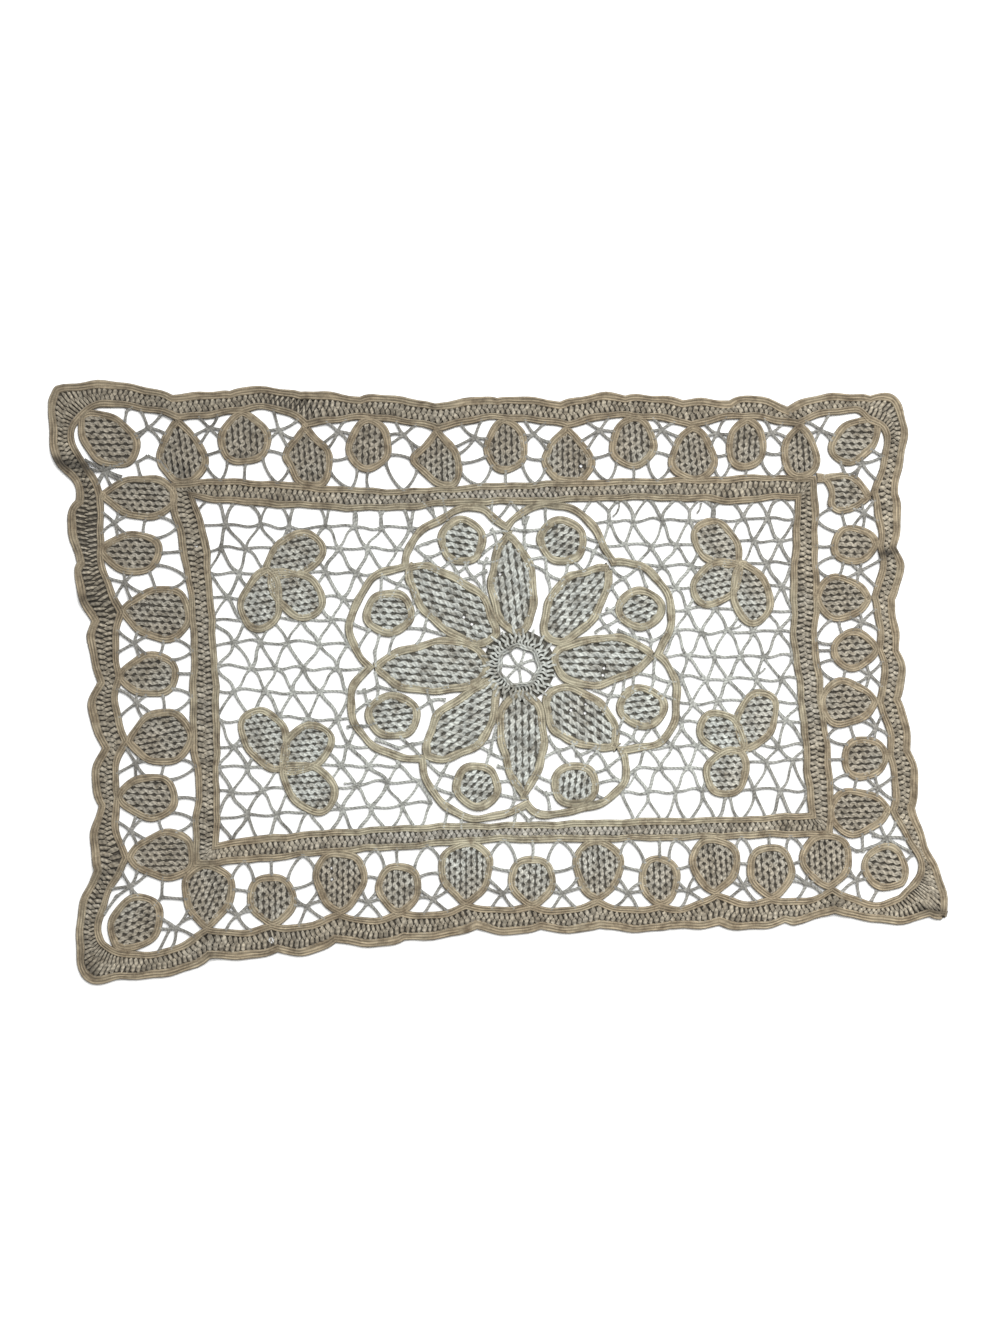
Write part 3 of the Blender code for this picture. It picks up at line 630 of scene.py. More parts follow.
# Grey linen thread of the fillings: loosely plied, it catches the light on each stitch.
stitch_thread = linen(
    "plied_grey_linen_thread", "#b0b3ad", "#948d7f", "#5a5243",
    groove=0.66, contrast=0.4, twist=(150.0, 38.0, 0.2), bump_depth=0.25,
)
# Ladder thread: the same yarn, pulled straight between two tapes.
ladder_thread = linen(
    "ladder_linen_thread", "#9b988f", "#918979", "#544b3d",
    groove=0.62, contrast=0.42, twist=(150.0, 30.0, 0.2), bump_depth=0.25,
)
# Twisted bar thread: drawn tight, it is darker and cooler than the tape.
bar_thread = linen(
    "twisted_bar_thread", "#a2a49e", "#84827c", "#4c4943",
    groove=0.75, contrast=0.22, twist=(200.0, 35.0, 0.2), bump_depth=0.18,
)
# Painted shade: the sheet behind the stitches is coloured as their shadow, so the gaps between them read
# dark.
shadow_cloth = linen(
    "painted_shadow_ground_linen", "#5a5850", "#433d34", "#2e2a22",
    groove=0.0, contrast=0.3, twist=(190.0, 0.0, 0.0), bump_depth=0.1,
)
print("materials:", [material.name for material in bpy.data.materials])

# %% [markdown]
# ## Sweeping a thread
# A thread or a tape is one cross-section carried along a line. Blender can do this with a bevelled curve,
# but a curve's UV map always runs from 0 to 1, and the linen needs its own in real lengths. So a small
# sweep is written here: it carries a profile along a path, closes it, and lays the UV map out in metres.

# %% Pieces and the sweep
# A thread's cross-section has six sides: across, up, and how deep each corner lies in shadow
ROUND_SIX = []
for turn in range(30, 390, 60):
    up = math.sin(math.radians(turn)) / 2
    ROUND_SIX.append((math.cos(math.radians(turn)) / 2, up, 0.5 - up))
# A thread is pressed a little flat: its height as a share of its width
THREAD_FLATNESS = 0.85
# A sharp turn widens a tape by no more than this
MOST_MITRE = 1.5
TINY = 1e-9


def new_piece():
    """An empty set of mesh parts, filled by the sweeps."""
    return {"points": [], "groove_shades": [], "quads": [], "caps": [], "uvs": [], "cap_uvs": [], "count": 0}


def sweep(piece, path, profile, wide, tall, closed=False):
    """Carries a profile along a path of points in millimetres. wide and tall may change along it."""
    path = np.asarray(path, float)
    count, sides = len(path), len(profile)
    wide = np.broadcast_to(np.asarray(wide, float), count)
    tall = np.broadcast_to(np.asarray(tall, float), count)
    if closed:
        before, after = np.roll(path, 1, axis=0), np.roll(path, -1, axis=0)
    else:
        before, after = np.vstack([path[:1], path[:-1]]), np.vstack([path[1:], path[-1:]])
    arriving, leaving = path - before, after - path
    if not closed:
        arriving[0], leaving[-1] = leaving[0], arriving[-1]
    arriving[:, 2] = leaving[:, 2] = 0
    arriving /= np.maximum(np.linalg.norm(arriving, axis=1, keepdims=True), TINY)
    leaving /= np.maximum(np.linalg.norm(leaving, axis=1, keepdims=True), TINY)
    along = arriving + leaving
    along /= np.maximum(np.linalg.norm(along, axis=1, keepdims=True), TINY)
    side = np.stack([-along[:, 1], along[:, 0], np.zeros(count)], axis=1)
    lean = np.clip((along * arriving).sum(axis=1), 1 / MOST_MITRE, 1)
    shape = np.asarray(profile, float)
    points = (
        path[:, None, :]
        + side[:, None, :] * (shape[None, :, 0] * (wide / lean)[:, None])[:, :, None]
        + np.array([0, 0, 1.0]) * (shape[None, :, 1] * tall[:, None])[:, :, None]
    )
    rings = count if closed else count - 1
    i, j = np.meshgrid(np.arange(rings), np.arange(sides), indexing="ij")
    i2, j2 = (i + 1) % count, (j + 1) % sides
    quads = np.stack([i * sides + j, i2 * sides + j, i2 * sides + j2, i * sides + j2], axis=2).reshape(-1, 4)
    spans = np.linalg.norm(np.roll(path, -1, axis=0) - path, axis=1)
    run = np.concatenate([[0], np.cumsum(spans)]) * METRE
    girth = np.linalg.norm((np.roll(shape, -1, axis=0) - shape)[:, :2], axis=1) * float(wide.mean())
    over = np.concatenate([[0], np.cumsum(girth)]) * METRE
    uv = np.stack(
        [run[i], over[j], run[i + 1], over[j], run[i + 1], over[j + 1], run[i], over[j + 1]], axis=2
    ).reshape(-1, 2)
    start = piece["count"]
    piece["points"].append(points.reshape(-1, 3))
    piece["groove_shades"].append(np.tile(shape[:, 2], count))
    piece["quads"].append(quads + start)
    piece["uvs"].append(uv)
    if not closed:
        last = start + (count - 1) * sides
        piece["caps"] += [list(range(start, start + sides)), list(range(last, last + sides))[::-1]]
        piece["cap_uvs"] += [(0.0, 0.0)] * (2 * sides)
    piece["count"] = start + count * sides


print("corners of a thread:", len(ROUND_SIX))

# %% [markdown]
# The sweep's sides run anticlockwise round a thread that is seen from its end, so its quads face outwards
# when the profile does too. The finished piece gets its mesh here, and Blender's own edit-mode operator
# turns every face outwards. The cloth has a few low folds, each a soft ridge along a line with painted shade
# along it. They lift all pieces alike, because one function gives the lift at any point. Some rows have no
# lift and only darken the colour along their line.

# %% Finishing a piece
# Each fold: its two ends (column, row, column, row), lift and breadth in millimetres, and how dark its
# painted shade is.
# Without a lift it only darkens the colour along its line.
CREASES = [
    (56, 461, 88, 467, 0.9, 5.5, 1.0),
    (874, 556, 899, 550, 0.8, 3.6, 1.0),
    (80, 600, 126, 604, 1.2, 5.0, 0.45),
    (300, 392, 322, 420, 0.8, 4.0, 0.3),
    (150, 390, 176, 424, 0.9, 5.0, 0.25),
    (432, 402, 440, 434, 0.8, 4.0, 0.25),
    (786, 404, 800, 430, 0.8, 4.0, 0.3),
    (800, 470, 822, 500, 1.0, 5.0, 0.3),
    (180, 470, 196, 498, 0.9, 5.0, 0.35),
    (190, 842, 216, 866, 0.9, 5.0, 0.25),
    (806, 812, 834, 838, 0.9, 5.0, 0.25),
    (92, 872, 128, 868, 1.1, 5.0, 0.4),
    (208, 926, 212, 958, 0.9, 5.0, 0.3),
    (832, 886, 836, 914, 0.9, 5.0, 0.3),
    (918, 908, 944, 913, 0.3, 4.0, 0.8),
    (84, 960, 96, 976, 0.3, 4.0, 0.4),
    (366, 599, 374, 581, 0.0, 3.0, 0.5),
    (530, 507, 562, 503, 0.0, 3.0, 0.35),
    (664, 606, 667, 622, 0.0, 1.4, 0.7),
    (670, 700, 669, 722, 0.0, 1.2, 0.7),
    (562, 801, 600, 802, 0.0, 1.4, 0.6),
    (350, 727, 374, 724, 0.0, 1.8, 0.6),
    (195, 428, 221, 417, 0.0, 3.0, 0.5),
    (90, 462, 110, 470, 0.0, 3.0, 0.5),
    (52, 386, 80, 384, 0.0, 3.0, 0.3),
    (158, 886, 164, 900, 0.0, 3.0, 0.5),
]
# The painted dark line of a fold is this share of its ridge's breadth
CREASE_CORE = 0.6
# Faces that meet at less than these degrees are shaded as one surface
SMOOTH_UNDER = 60


def crease_at(points):
    """For points in millimetres: how far the cloth lifts there, and how dark its folds and lines are painted.
    """
    lift = np.zeros(len(points))
    shade = np.zeros(len(points))
    for c1, r1, c2, r2, height, breadth, dark in CREASES:
        start, end = np.array(place(c1, r1)), np.array(place(c2, r2))
        line = end - start
        t = np.clip(((points[:, :2] - start) @ line) / (line @ line), 0, 1)
        away = np.linalg.norm(points[:, :2] - (start + t[:, None] * line), axis=1)
        near = np.exp(-(away / breadth) ** 2)
        lift = np.maximum(lift, height * near)
        # Painted shade along each fold, and the darker line of each row without lift
        shade = np.maximum(shade, dark * np.exp(-(away / (CREASE_CORE * breadth)) ** 2))
    return lift, shade


def finish_piece(piece, name, material, nodes=()):
    """Makes the mesh, shades it, and ties it to the frame."""
    points = np.vstack(piece["points"])
    lift, shade = crease_at(points)
    points[:, 2] += lift
    mesh = bpy.data.meshes.new(name)
    mesh.from_pydata((points * METRE).tolist(), [], np.vstack(piece["quads"]).tolist() + piece["caps"])
    uvs = np.vstack(piece["uvs"] + [np.reshape(piece["cap_uvs"], (-1, 2))])
    layer = mesh.uv_layers.new(name="thread")
    layer.data.foreach_set("uv", uvs.ravel())
    # The painted fold shade and darker lines go to the material
    mesh.attributes.new("fold_shade_and_marks", "FLOAT", "POINT").data.foreach_set("value", shade)
    mesh.attributes.new("painted_groove_shade", "FLOAT", "POINT").data.foreach_set("value", np.concatenate(piece["groove_shades"]))
    mesh.materials.append(material)
    made = bpy.data.objects.new(name, mesh)
    bpy.context.scene.collection.objects.link(made)
    bpy.ops.object.select_all(action="DESELECT")
    made.select_set(True)
    bpy.context.view_layer.objects.active = made
    bpy.ops.object.mode_set(mode="EDIT")
    bpy.ops.mesh.select_all(action="SELECT")
    bpy.ops.mesh.normals_make_consistent(inside=False)
    bpy.ops.object.mode_set(mode="OBJECT")
    bpy.ops.object.shade_smooth_by_angle(angle=math.radians(SMOOTH_UNDER))
    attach(made, "root")
    if nodes:
        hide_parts(*nodes)
    print(name, "triangles:", sum(len(p.vertices) - 2 for p in mesh.polygons))


print("folds and stains:", len(CREASES))

# %% [markdown]
# ## Where one shape lies in another
# Stitches stop at their tape and thread bars stop at what they are sewn to, so helpers tell which points
# lie inside an outline, and which point of an outline is nearest. Even spacing needs the length along it.

# %% Inside and nearest
def inside(points, outline):
    """True for each point that lies in the outline."""
    x, y = np.asarray(points, float)[:, 0], np.asarray(points, float)[:, 1]
    found = np.zeros(len(x), bool)
    for i in range(len(outline)):
        (x1, y1), (x2, y2) = outline[i - 1], outline[i]
        crosses = (y1 > y) != (y2 > y)
        if y1 != y2:
            found ^= crosses & (x < x1 + (y - y1) * (x2 - x1) / (y2 - y1))
    return found


def measured(outline):
    """A closed outline as an array that ends where it begins, and each point's distance along it."""
    line = np.array([tuple(p) for p in outline] + [tuple(outline[0])])
    return line, np.concatenate([[0], np.cumsum(np.linalg.norm(np.diff(line, axis=0), axis=1))])


def points_at(distances, line, run):
    """The points at these distances along a measured outline."""
    return [Vector((np.interp(at, run, line[:, 0]), np.interp(at, run, line[:, 1]))) for at in distances]


def stretches(kept):
    """Each unbroken stretch of a path that is kept: its first point's number, and the one after its last."""
    edges = np.flatnonzero(np.diff(np.concatenate([[0], kept.astype(int), [0]])))
    return zip(edges[::2], edges[1::2])


def nearest(point, outline):
    """The outline's nearest point."""
    line, _ = measured(outline)
    step = np.diff(line, axis=0)
    t = ((np.array(point) - line[:-1]) * step).sum(axis=1) / np.maximum((step * step).sum(axis=1), TINY)
    on = line[:-1] + np.clip(t, 0, 1)[:, None] * step
    return Vector(on[np.linalg.norm(on - np.array(point), axis=1).argmin()])


def stations(outline, spacing):
    """Points at an even spacing round a closed outline, an even number of them."""
    line, run = measured(outline)
    count = 2 * round(run[-1] / spacing / 2)
    return points_at(np.linspace(0, run[-1], count, endpoint=False), line, run)


print("length of the border's edge in millimetres:", round(measured(border_outer)[1][-1]))

# %% [markdown]
# ## The painted shadow ground
# The stitches stand so close that hardly any light gets between them. One thin sheet under the tapes and
# filled motifs is painted dark in the colour of that shadow. It is cut like paper: a flat curve is filled
# between its outlines, made 0.4 mm thick and turned into a mesh. Small holes go through it where light shows
# between the stitches, and where the ladder is torn.

# %% Ground sheet
GROUND_THICK = 0.4
GROUND_INSET = 1.2
# Points closer than this are merged
MERGE_WITHIN = 0.002
CIRCLE_SIDES = 48
TEAR_SIDES = 12
PINHOLE_SIDES = 8
# Places (column, row) where light shows through a filling
PINHOLES = [
    (500, 574), (332, 868), (332, 879), (456, 610), (464, 617), (472, 624), (586, 704), (571, 710),
    (585, 713), (594, 710), (604, 668), (603, 675), (581, 466), (497, 641), (548, 683), (558, 683),
]
# The stitches stop at one radius and the cloth is cut to the other
PINHOLE_RADIUS = 0.9
PINHOLE_CUT = 0.8
# Places where the ladder is torn right through: column, row and radius in millimetres
BORDER_TEAR = (272, 940, 1.7)
FRAME_TEAR = (196, 546, 1.1)
# The flower's eye: the stitched core, the open middle and the band between them
CORE_RADIUS = 18.0
EYELET_RADIUS = 8.6
EYELET_BAND = 2.6


def circle(middle, radius, count=CIRCLE_SIDES):
    """A round outline."""
    return [middle + towards(360 * i / count) * radius for i in range(count)]


def cut_cloth(name, groups):
    """Flat solids, each cut from a group of outlines: the first is its edge and the others are its holes."""
    made = []
    for group in groups:
        curve = bpy.data.curves.new(name, "CURVE")
        curve.dimensions = "2D"
        curve.fill_mode = "BOTH"
        curve.extrude = GROUND_THICK / 2 * METRE
        for outline in group:
            spline = curve.splines.new("POLY")
            spline.points.add(len(outline) - 1)
            spline.use_cyclic_u = True
            for corner, point in zip(spline.points, outline):
                corner.co = (*(point * METRE), 0, 1)
        cut = bpy.data.objects.new(name, curve)
        cut.location.z = GROUND_THICK / 2 * METRE
        bpy.context.scene.collection.objects.link(cut)
        made.append(cut)
    bpy.ops.object.select_all(action="DESELECT")
    for cut in made:
        cut.select_set(True)
    bpy.context.view_layer.objects.active = made[0]
    bpy.ops.object.convert(target="MESH")
    bpy.ops.object.join()
    bpy.ops.object.transform_apply(location=True, rotation=True, scale=True)
    bpy.ops.object.mode_set(mode="EDIT")
    bpy.ops.mesh.select_all(action="SELECT")
    bpy.ops.mesh.remove_doubles(threshold=MERGE_WITHIN * METRE)
    bpy.ops.mesh.normals_make_consistent(inside=False)
    bpy.ops.object.mode_set(mode="OBJECT")
    sheet = bpy.context.object
    sheet.name = name
    return sheet


def pin_rounds(outline):
    """The pinholes that lie in an outline, as small round holes."""
    spots = [place(*hole) for hole in PINHOLES]
    return [circle(spot, PINHOLE_CUT, PINHOLE_SIDES)[::-1] for spot in spots if inside([spot], outline)[0]]


border_tear, frame_tear = (
    circle(place(column, row), radius, TEAR_SIDES)[::-1] for column, row, radius in (BORDER_TEAR, FRAME_TEAR)
)
cloth_groups = [
    [grown(border_outer, -GROUND_INSET), grown(border_inner, GROUND_INSET), border_tear],
    [grown(frame_outer, -GROUND_INSET), grown(frame_inner, GROUND_INSET), frame_tear],
    [circle(flower_middle, CORE_RADIUS), circle(flower_middle, EYELET_RADIUS + EYELET_BAND / 2)],
]
for outline in motif_outlines + spray_outlines + petal_outlines + ring_disc_outlines:
    cloth_groups.append([grown(outline, -GROUND_INSET)] + pin_rounds(outline))
ground = cut_cloth("painted_shadow_ground", cloth_groups)
ground_mesh = ground.data
ground_mesh.materials.clear()
ground_mesh.materials.append(shadow_cloth)
ground_points = np.array([tuple(corner.co) for corner in ground_mesh.vertices])
# The ground gets the same lift and the same painted fold shade
ground_lift, ground_shade = crease_at(ground_points / METRE)
ground_points[:, 2] += ground_lift * METRE
ground_mesh.vertices.foreach_set("co", ground_points.ravel())
ground_mesh.attributes.new("fold_shade_and_marks", "FLOAT", "POINT").data.foreach_set("value", ground_shade)
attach(ground, "root")

# %% [markdown]
# ## The woven tapes
# The tape is sold by the metre: three fine ribs run along it, and it is sewn down along the pattern. The
# border and the frame each have two of them side by side. The profile has the three ribs, and the sweep
# does the rest.

# %% Tape profile, border and frame
TAPE_TALL = 1.55
TAPE_HEIGHT = 0.02
RIBS = 3
EYE_RIBS = 2
# The tape's edge, a rib and a groove: how high each stands and how much painted shade it gets, as shares
EDGE = (0.55, 0.75)
RIB = (1.0, 0.0)
GROOVE = (0.72, 0.7)
BORDER_OUTER_BAND = 4.2
BORDER_INNER_BAND = 3.7
FRAME_BAND = 3.7
# A tape's width sways by this share, in waves this many points long
WIDTH_SWAY = 0.05
WIDTH_WAVES = (7, 13, 23)
# A wave may begin anywhere in its turn, in radians
ANY_PHASE = (0, 6)


def tape_profile(ribs):
    """The cross-section of a tape: across, up, and how much painted shade each point gets in a groove."""
    tops = [EDGE] + [RIB, GROOVE] * ribs
    tops[-1] = EDGE
    profile = [(0.5 - step / (2 * ribs), height, painted_groove_shade) for step, (height, painted_groove_shade) in enumerate(tops)]
    return [(0.5, 0.0, 1.0)] + profile + [(-0.5, 0.0, 1.0)]


TAPE_PROFILE = tape_profile(RIBS)
EYE_PROFILE = tape_profile(EYE_RIBS)


def lay_tape(piece, outline, wide, height=TAPE_HEIGHT, tall=TAPE_TALL, profile=TAPE_PROFILE):
    """Sews a tape down along a closed outline, a little wider and narrower by turns as a hand pulls it."""
    count = len(outline)
    turn = np.arange(count) * 2 * math.pi / count
    waves = sum(np.sin(turn * round(count / points) + draw.uniform(*ANY_PHASE)) for points in WIDTH_WAVES)
    path = [(p.x, p.y, height) for p in outline]
    sweep(piece, path, profile, wide * (1 + WIDTH_SWAY * waves), tall, closed=True)


border_tapes = new_piece()
lay_tape(border_tapes, grown(border_outer, -BORDER_OUTER_BAND / 2), BORDER_OUTER_BAND)
lay_tape(border_tapes, grown(border_inner, BORDER_INNER_BAND / 2), BORDER_INNER_BAND)
finish_piece(border_tapes, "border_tape_bands", tape_cloth, ["border_tape"])
frame_tapes = new_piece()
lay_tape(frame_tapes, grown(frame_outer, -FRAME_BAND / 2), FRAME_BAND)
lay_tape(frame_tapes, grown(frame_inner, FRAME_BAND / 2), FRAME_BAND)
finish_piece(frame_tapes, "frame_tape_bands", tape_cloth, ["frame_tape"])

# %% [markdown]
# ## The ladder stitch
# The two tapes of the border are joined by a needle thread that goes across and back. It comes in two rows
# that meet in the middle, half a stitch apart. Each stitch is one plump leg and one thin returning leg, so
# the thread's width changes along the sweep. At a corner the outer tape is longer than the inner one and
# the legs fan out.

# %% Ladder stitches
LADDER_PITCH = 2.75
LADDER_TUCK = 0.7
LEG_WIDE = 2.2
RETURN_WIDE = 0.5
LADDER_HEIGHT = 0.85
MOST_TALL = 1.5
LEG_SLANT = 0.8
# A leg's own width varies within these shares, and the middle of the ladder wanders by this share
LEG_SWELL = (0.82, 1.15)
MIDDLE_WANDER = 0.05
# At a corner the legs fan out: their width follows the room they have, within these shares
LEAST_SPREAD = 0.45
MOST_SPREAD = 1.3
# The legs' ends are eased along the tape over this many neighbours on either side
LADDER_EASING = 9
# A leg from the tape inwards: share of the way, width, and height as a share of the ladder's
LEG_STATIONS = (
    (0.0, 0.65 * LEG_WIDE, 0.75), (0.25, LEG_WIDE, 1.0), (0.75, LEG_WIDE, 1.0), (1.0, 0.8 * LEG_WIDE, 0.95),
    (1.15, 0.35 * LEG_WIDE, 0.7),
)
RETURN_STATIONS = (0.15, 0.9)
# Where the ladder was pulled open: column, row, reach in millimetres, and how much thinner its legs are
OPEN_LADDER = [
    (292, 408, 15, 0.42), (84, 520, 26, 0.38), (86, 600, 22, 0.25), (110, 880, 20, 0.15),
    (272, 938, 1.9, 0.75), (196, 546, 1.4, 0.6),
]


def leg_share(spot):
    """How wide the ladder's legs are at a place, as a share of the usual width."""
    share = 1.0
    for column, row, reach, thinner in OPEN_LADDER:
        share -= thinner * math.exp(-((spot - place(column, row)).length / reach) ** 2)
    return share


def facing(feet, edge):
    """For each foot on one tape, the point that it faces on the other, without jumps at the notches."""
    line, run = measured(edge)
    at = []
    for foot in feet:
        away = np.linalg.norm(line - np.array(nearest(foot, edge)), axis=1)
        corner = away.argmin()
        # The point lies on the side before or after its nearest corner, where it is no detour
        sides = [i for i in (corner - 1, corner) if 0 <= i < len(edge)]
        side = min(sides, key=lambda i: away[i] + away[i + 1] - (run[i + 1] - run[i]))
        at.append(run[side] + away[side])
    at = np.unwrap(at, period=run[-1])
    around = np.concatenate([at[-LADDER_EASING:] - run[-1], at, at[:LADDER_EASING] + run[-1]])
    kernel = np.hanning(2 * LADDER_EASING + 3)[1:-1]
    return points_at(np.convolve(around, kernel / kernel.sum(), mode="valid") % run[-1], line, run)


def ladder_row(piece, feet, heads, first):
    """One row of stitches from the feet on a tape to the heads in the middle."""
    path, wide = [], []
    count = len(feet)
    for i in range(first, count + first, 2):
        foot, head, next_foot = feet[i % count], heads[i % count], feet[(i + 2) % count]
        swell = draw.uniform(*LEG_SWELL) * min(leg_share(foot), leg_share(head))
        room = [(next_foot - foot).length, (heads[(i + 2) % count] - head).length]
        for share, width, height in LEG_STATIONS:
            spot = foot.lerp(head, share)
            path.append((spot.x, spot.y, LADDER_HEIGHT * height))
            spread = np.interp(share, (0, 1), room) / LADDER_PITCH
            wide.append(width * swell * min(max(spread, LEAST_SPREAD), MOST_SPREAD))
        for share in RETURN_STATIONS:
            spot = head.lerp(next_foot, share)
            path.append((spot.x, spot.y, GROUND_THICK / 2))
            wide.append(RETURN_WIDE)
    tall = np.minimum(np.array(wide) * THREAD_FLATNESS, MOST_TALL)
    sweep(piece, path, ROUND_SIX, wide, tall, closed=True)


def ladder(name, outer_edge, inner_edge):
    """The two rows of stitches between two tapes."""
    piece = new_piece()
    feet = stations(outer_edge, LADDER_PITCH / 2)
    across = facing(feet, inner_edge)
    middles = []
    for foot, other in zip(feet, across):
        middles.append(foot.lerp(other, 0.5 + draw.uniform(-MIDDLE_WANDER, MIDDLE_WANDER)))
    heads = [here.lerp(there, LEG_SLANT) for here, there in zip(middles, middles[1:] + middles[:1])]
    ladder_row(piece, feet, heads, 0)
    ladder_row(piece, across, heads, 1)
    finish_piece(piece, name, ladder_thread)


ladder(
    "border_ladder_stitches",
    grown(border_outer, -BORDER_OUTER_BAND + LADDER_TUCK),
    grown(border_inner, BORDER_INNER_BAND - LADDER_TUCK),
)
ladder(
    "frame_ladder_stitches",
    grown(frame_outer, -FRAME_BAND + LADDER_TUCK),
    grown(frame_inner, FRAME_BAND - LADDER_TUCK),
)

# %% [markdown]
# ## The rims of leaves, discs, petals and ring
# Each motif is a loop of the same tape. Neighbours that cross, such as the petals near the flower's eye,
# lie over and under one another in turn, so each loop gets a slightly different height.

# %% Rims
RIM_WIDE = 3.8
FLOWER_RIM_WIDE = 4.2
RING_WIDE = 4.0
RIM_TALL = 1.35
RIM_HEIGHT = 0.05
RING_HEIGHT = 0.2
LAYER_STEP = 0.12
LAYERS = 3


def rims(name, outlines, wide, nodes):
    """Loops of tape round a list of outlines."""
    piece = new_piece()
    for number, outline in enumerate(outlines):
        height = RIM_HEIGHT + LAYER_STEP * (number % LAYERS)
        lay_tape(piece, grown(outline, -wide / 2), wide, height, RIM_TALL)
    finish_piece(piece, name, tape_cloth, nodes)


names = {"leaf": [], "disc": []}
outlines_of = {"leaf": [], "disc": []}
for number, (motif, outline) in enumerate(zip(BORDER_MOTIFS, motif_outlines)):
    names[motif[0]].append(f"border_{motif[0]}_{number + 1:02d}")
    outlines_of[motif[0]].append(outline)
rims("border_leaf_rims", outlines_of["leaf"], RIM_WIDE, names["leaf"])
rims("border_disc_rims", outlines_of["disc"], RIM_WIDE, names["disc"])
spray_names = sorted({row[0] for row in TREFOIL_LEAVES})
rims("spray_rims", spray_outlines, RIM_WIDE, spray_names)
rims("petal_rims", petal_outlines, FLOWER_RIM_WIDE, ["flower"])
disc_names = [f"ring_disc_{number + 1}" for number in range(len(RING_DISCS))]
rims("ring_disc_rims", ring_disc_outlines, FLOWER_RIM_WIDE, disc_names)
ring = new_piece()
lay_tape(ring, ring_line, RING_WIDE, RING_HEIGHT, RIM_TALL)
finish_piece(ring, "flower_ring_tape", tape_cloth, ["flower_ring"])

# %% [markdown]
# ## The needle fillings
# Inside each rim the maker worked rows of looped stitches. Neighbouring rows swing apart and together
# again, so between them stay slim gaps like bricks in a wall. A row is a plump two-strand thread that
# waves, and the next row waves the other way. Each kind of motif has its own stitch. The thread is as wide
# as the room that the swinging rows leave it, so that neighbours touch where they meet.

# %% Fillings
# A filling thread's cross-section: across, up, and painted shade, darkest at its sides and a little in the
# dip between its two strands
FILL_PROFILE = [
    (0.5, 0.0, 1.0), (0.45, 0.6, 0.6), (0.25, 1.0, 0.0), (0.0, 0.78, 0.25),
    (-0.25, 1.0, 0.0), (-0.45, 0.6, 0.6), (-0.5, 0.0, 1.0),
]
FILL_TALL = 1.0
FILL_HEIGHT = 0.7 * GROUND_THICK
FILL_RISE = 0.2
FILL_OVERLAP = 0.05
# The rows go this far under the rim's tape, and the maker's direction is true to this many degrees
FILL_TUCK = 0.8
FILL_TURN = 5
STITCH_STEPS = 10
LEAST_STEPS = 3
# The swing is a wave with flattened tops: the higher this is, the flatter they are
WAVE_FLATNESS = 2
# The hand changes its swing and drifts off its row in waves of these lengths over a turn, in millimetres
SWING_LENGTHS = (2.0, 3.5)
DRIFT_LENGTHS = (5, 9)
SPRAY_HEADING = 8
# Each stitch: length of a wave, distance of the rows, how far they swing, and how uneven the hand is
STITCHES = {
    "leaf": (4.0, 2.75, 0.34, 0.5),
    "disc": (4.2, 2.95, 0.37, 0.45),
    "spray": (3.6, 3.05, 0.36, 0.3),
    "petal": (5.2, 3.3, 0.34, 0.35),
    "ring": (4.8, 3.0, 0.34, 0.35),
}
# Motifs at the corners that are stitched along the border rather than along their own length, by their place
CORNER_HEADINGS = {(83, 418): 0, (901, 883): -8, (117, 945): 30, (207, 925): 62, (876, 424): 0}


def fill_motif(piece, outline, heading, kind, rim):
    """Rows of waving thread along a heading, inside an outline."""
    wave, spacing, swing, rough = STITCHES[kind]
    wide = spacing - 2 * swing + FILL_OVERLAP
    heading += draw.uniform(-FILL_TURN, FILL_TURN)
    room = grown(outline, FILL_TUCK - rim)
    along, across = towards(heading), towards(heading + 90)
    forward = [p.dot(along) for p in room]
    sideways = [p.dot(across) for p in room]
    rows = math.ceil((max(sideways) - min(sideways)) / spacing)
    first = (min(sideways) + max(sideways)) / 2 - (rows - 1) / 2 * spacing
    shift = draw.uniform(0, wave)
    at = np.arange(min(forward), max(forward), wave / STITCH_STEPS)
    for row in range(rows):
        # The hand: rows start unevenly, swing more or less, and drift
        drift = draw.uniform(-rough, rough)
        loose = 1 + rough * np.sin(at / draw.uniform(*SWING_LENGTHS) + draw.uniform(*ANY_PHASE))
        sway = rough * 0.5 * np.sin(at / draw.uniform(*DRIFT_LENGTHS) + draw.uniform(*ANY_PHASE))
        turn = 2 * math.pi * (at + shift + drift + sway) / wave + math.pi * row
        flat_wave = np.tanh(WAVE_FLATNESS * np.cos(turn)) / math.tanh(WAVE_FLATNESS)
        level = first + spacing * row + 0.4 * sway + swing * loose * flat_wave
        height = FILL_HEIGHT + FILL_RISE * np.cos(2 * turn + 1)
        path = np.stack([along.x * at + across.x * level, along.y * at + across.y * level, height], axis=1)
        thick = wide * (1 + 0.09 * np.cos(2 * turn) + 0.3 * rough * np.sin(at * 1.7 + row))
        held = inside(path, room)
        for hole in PINHOLES:
            held &= np.linalg.norm(path[:, :2] - np.array(place(*hole)), axis=1) > PINHOLE_RADIUS
        for start, end in stretches(held):
            if end - start >= LEAST_STEPS:
                sweep(piece, path[start:end], FILL_PROFILE, thick[start:end], FILL_TALL)


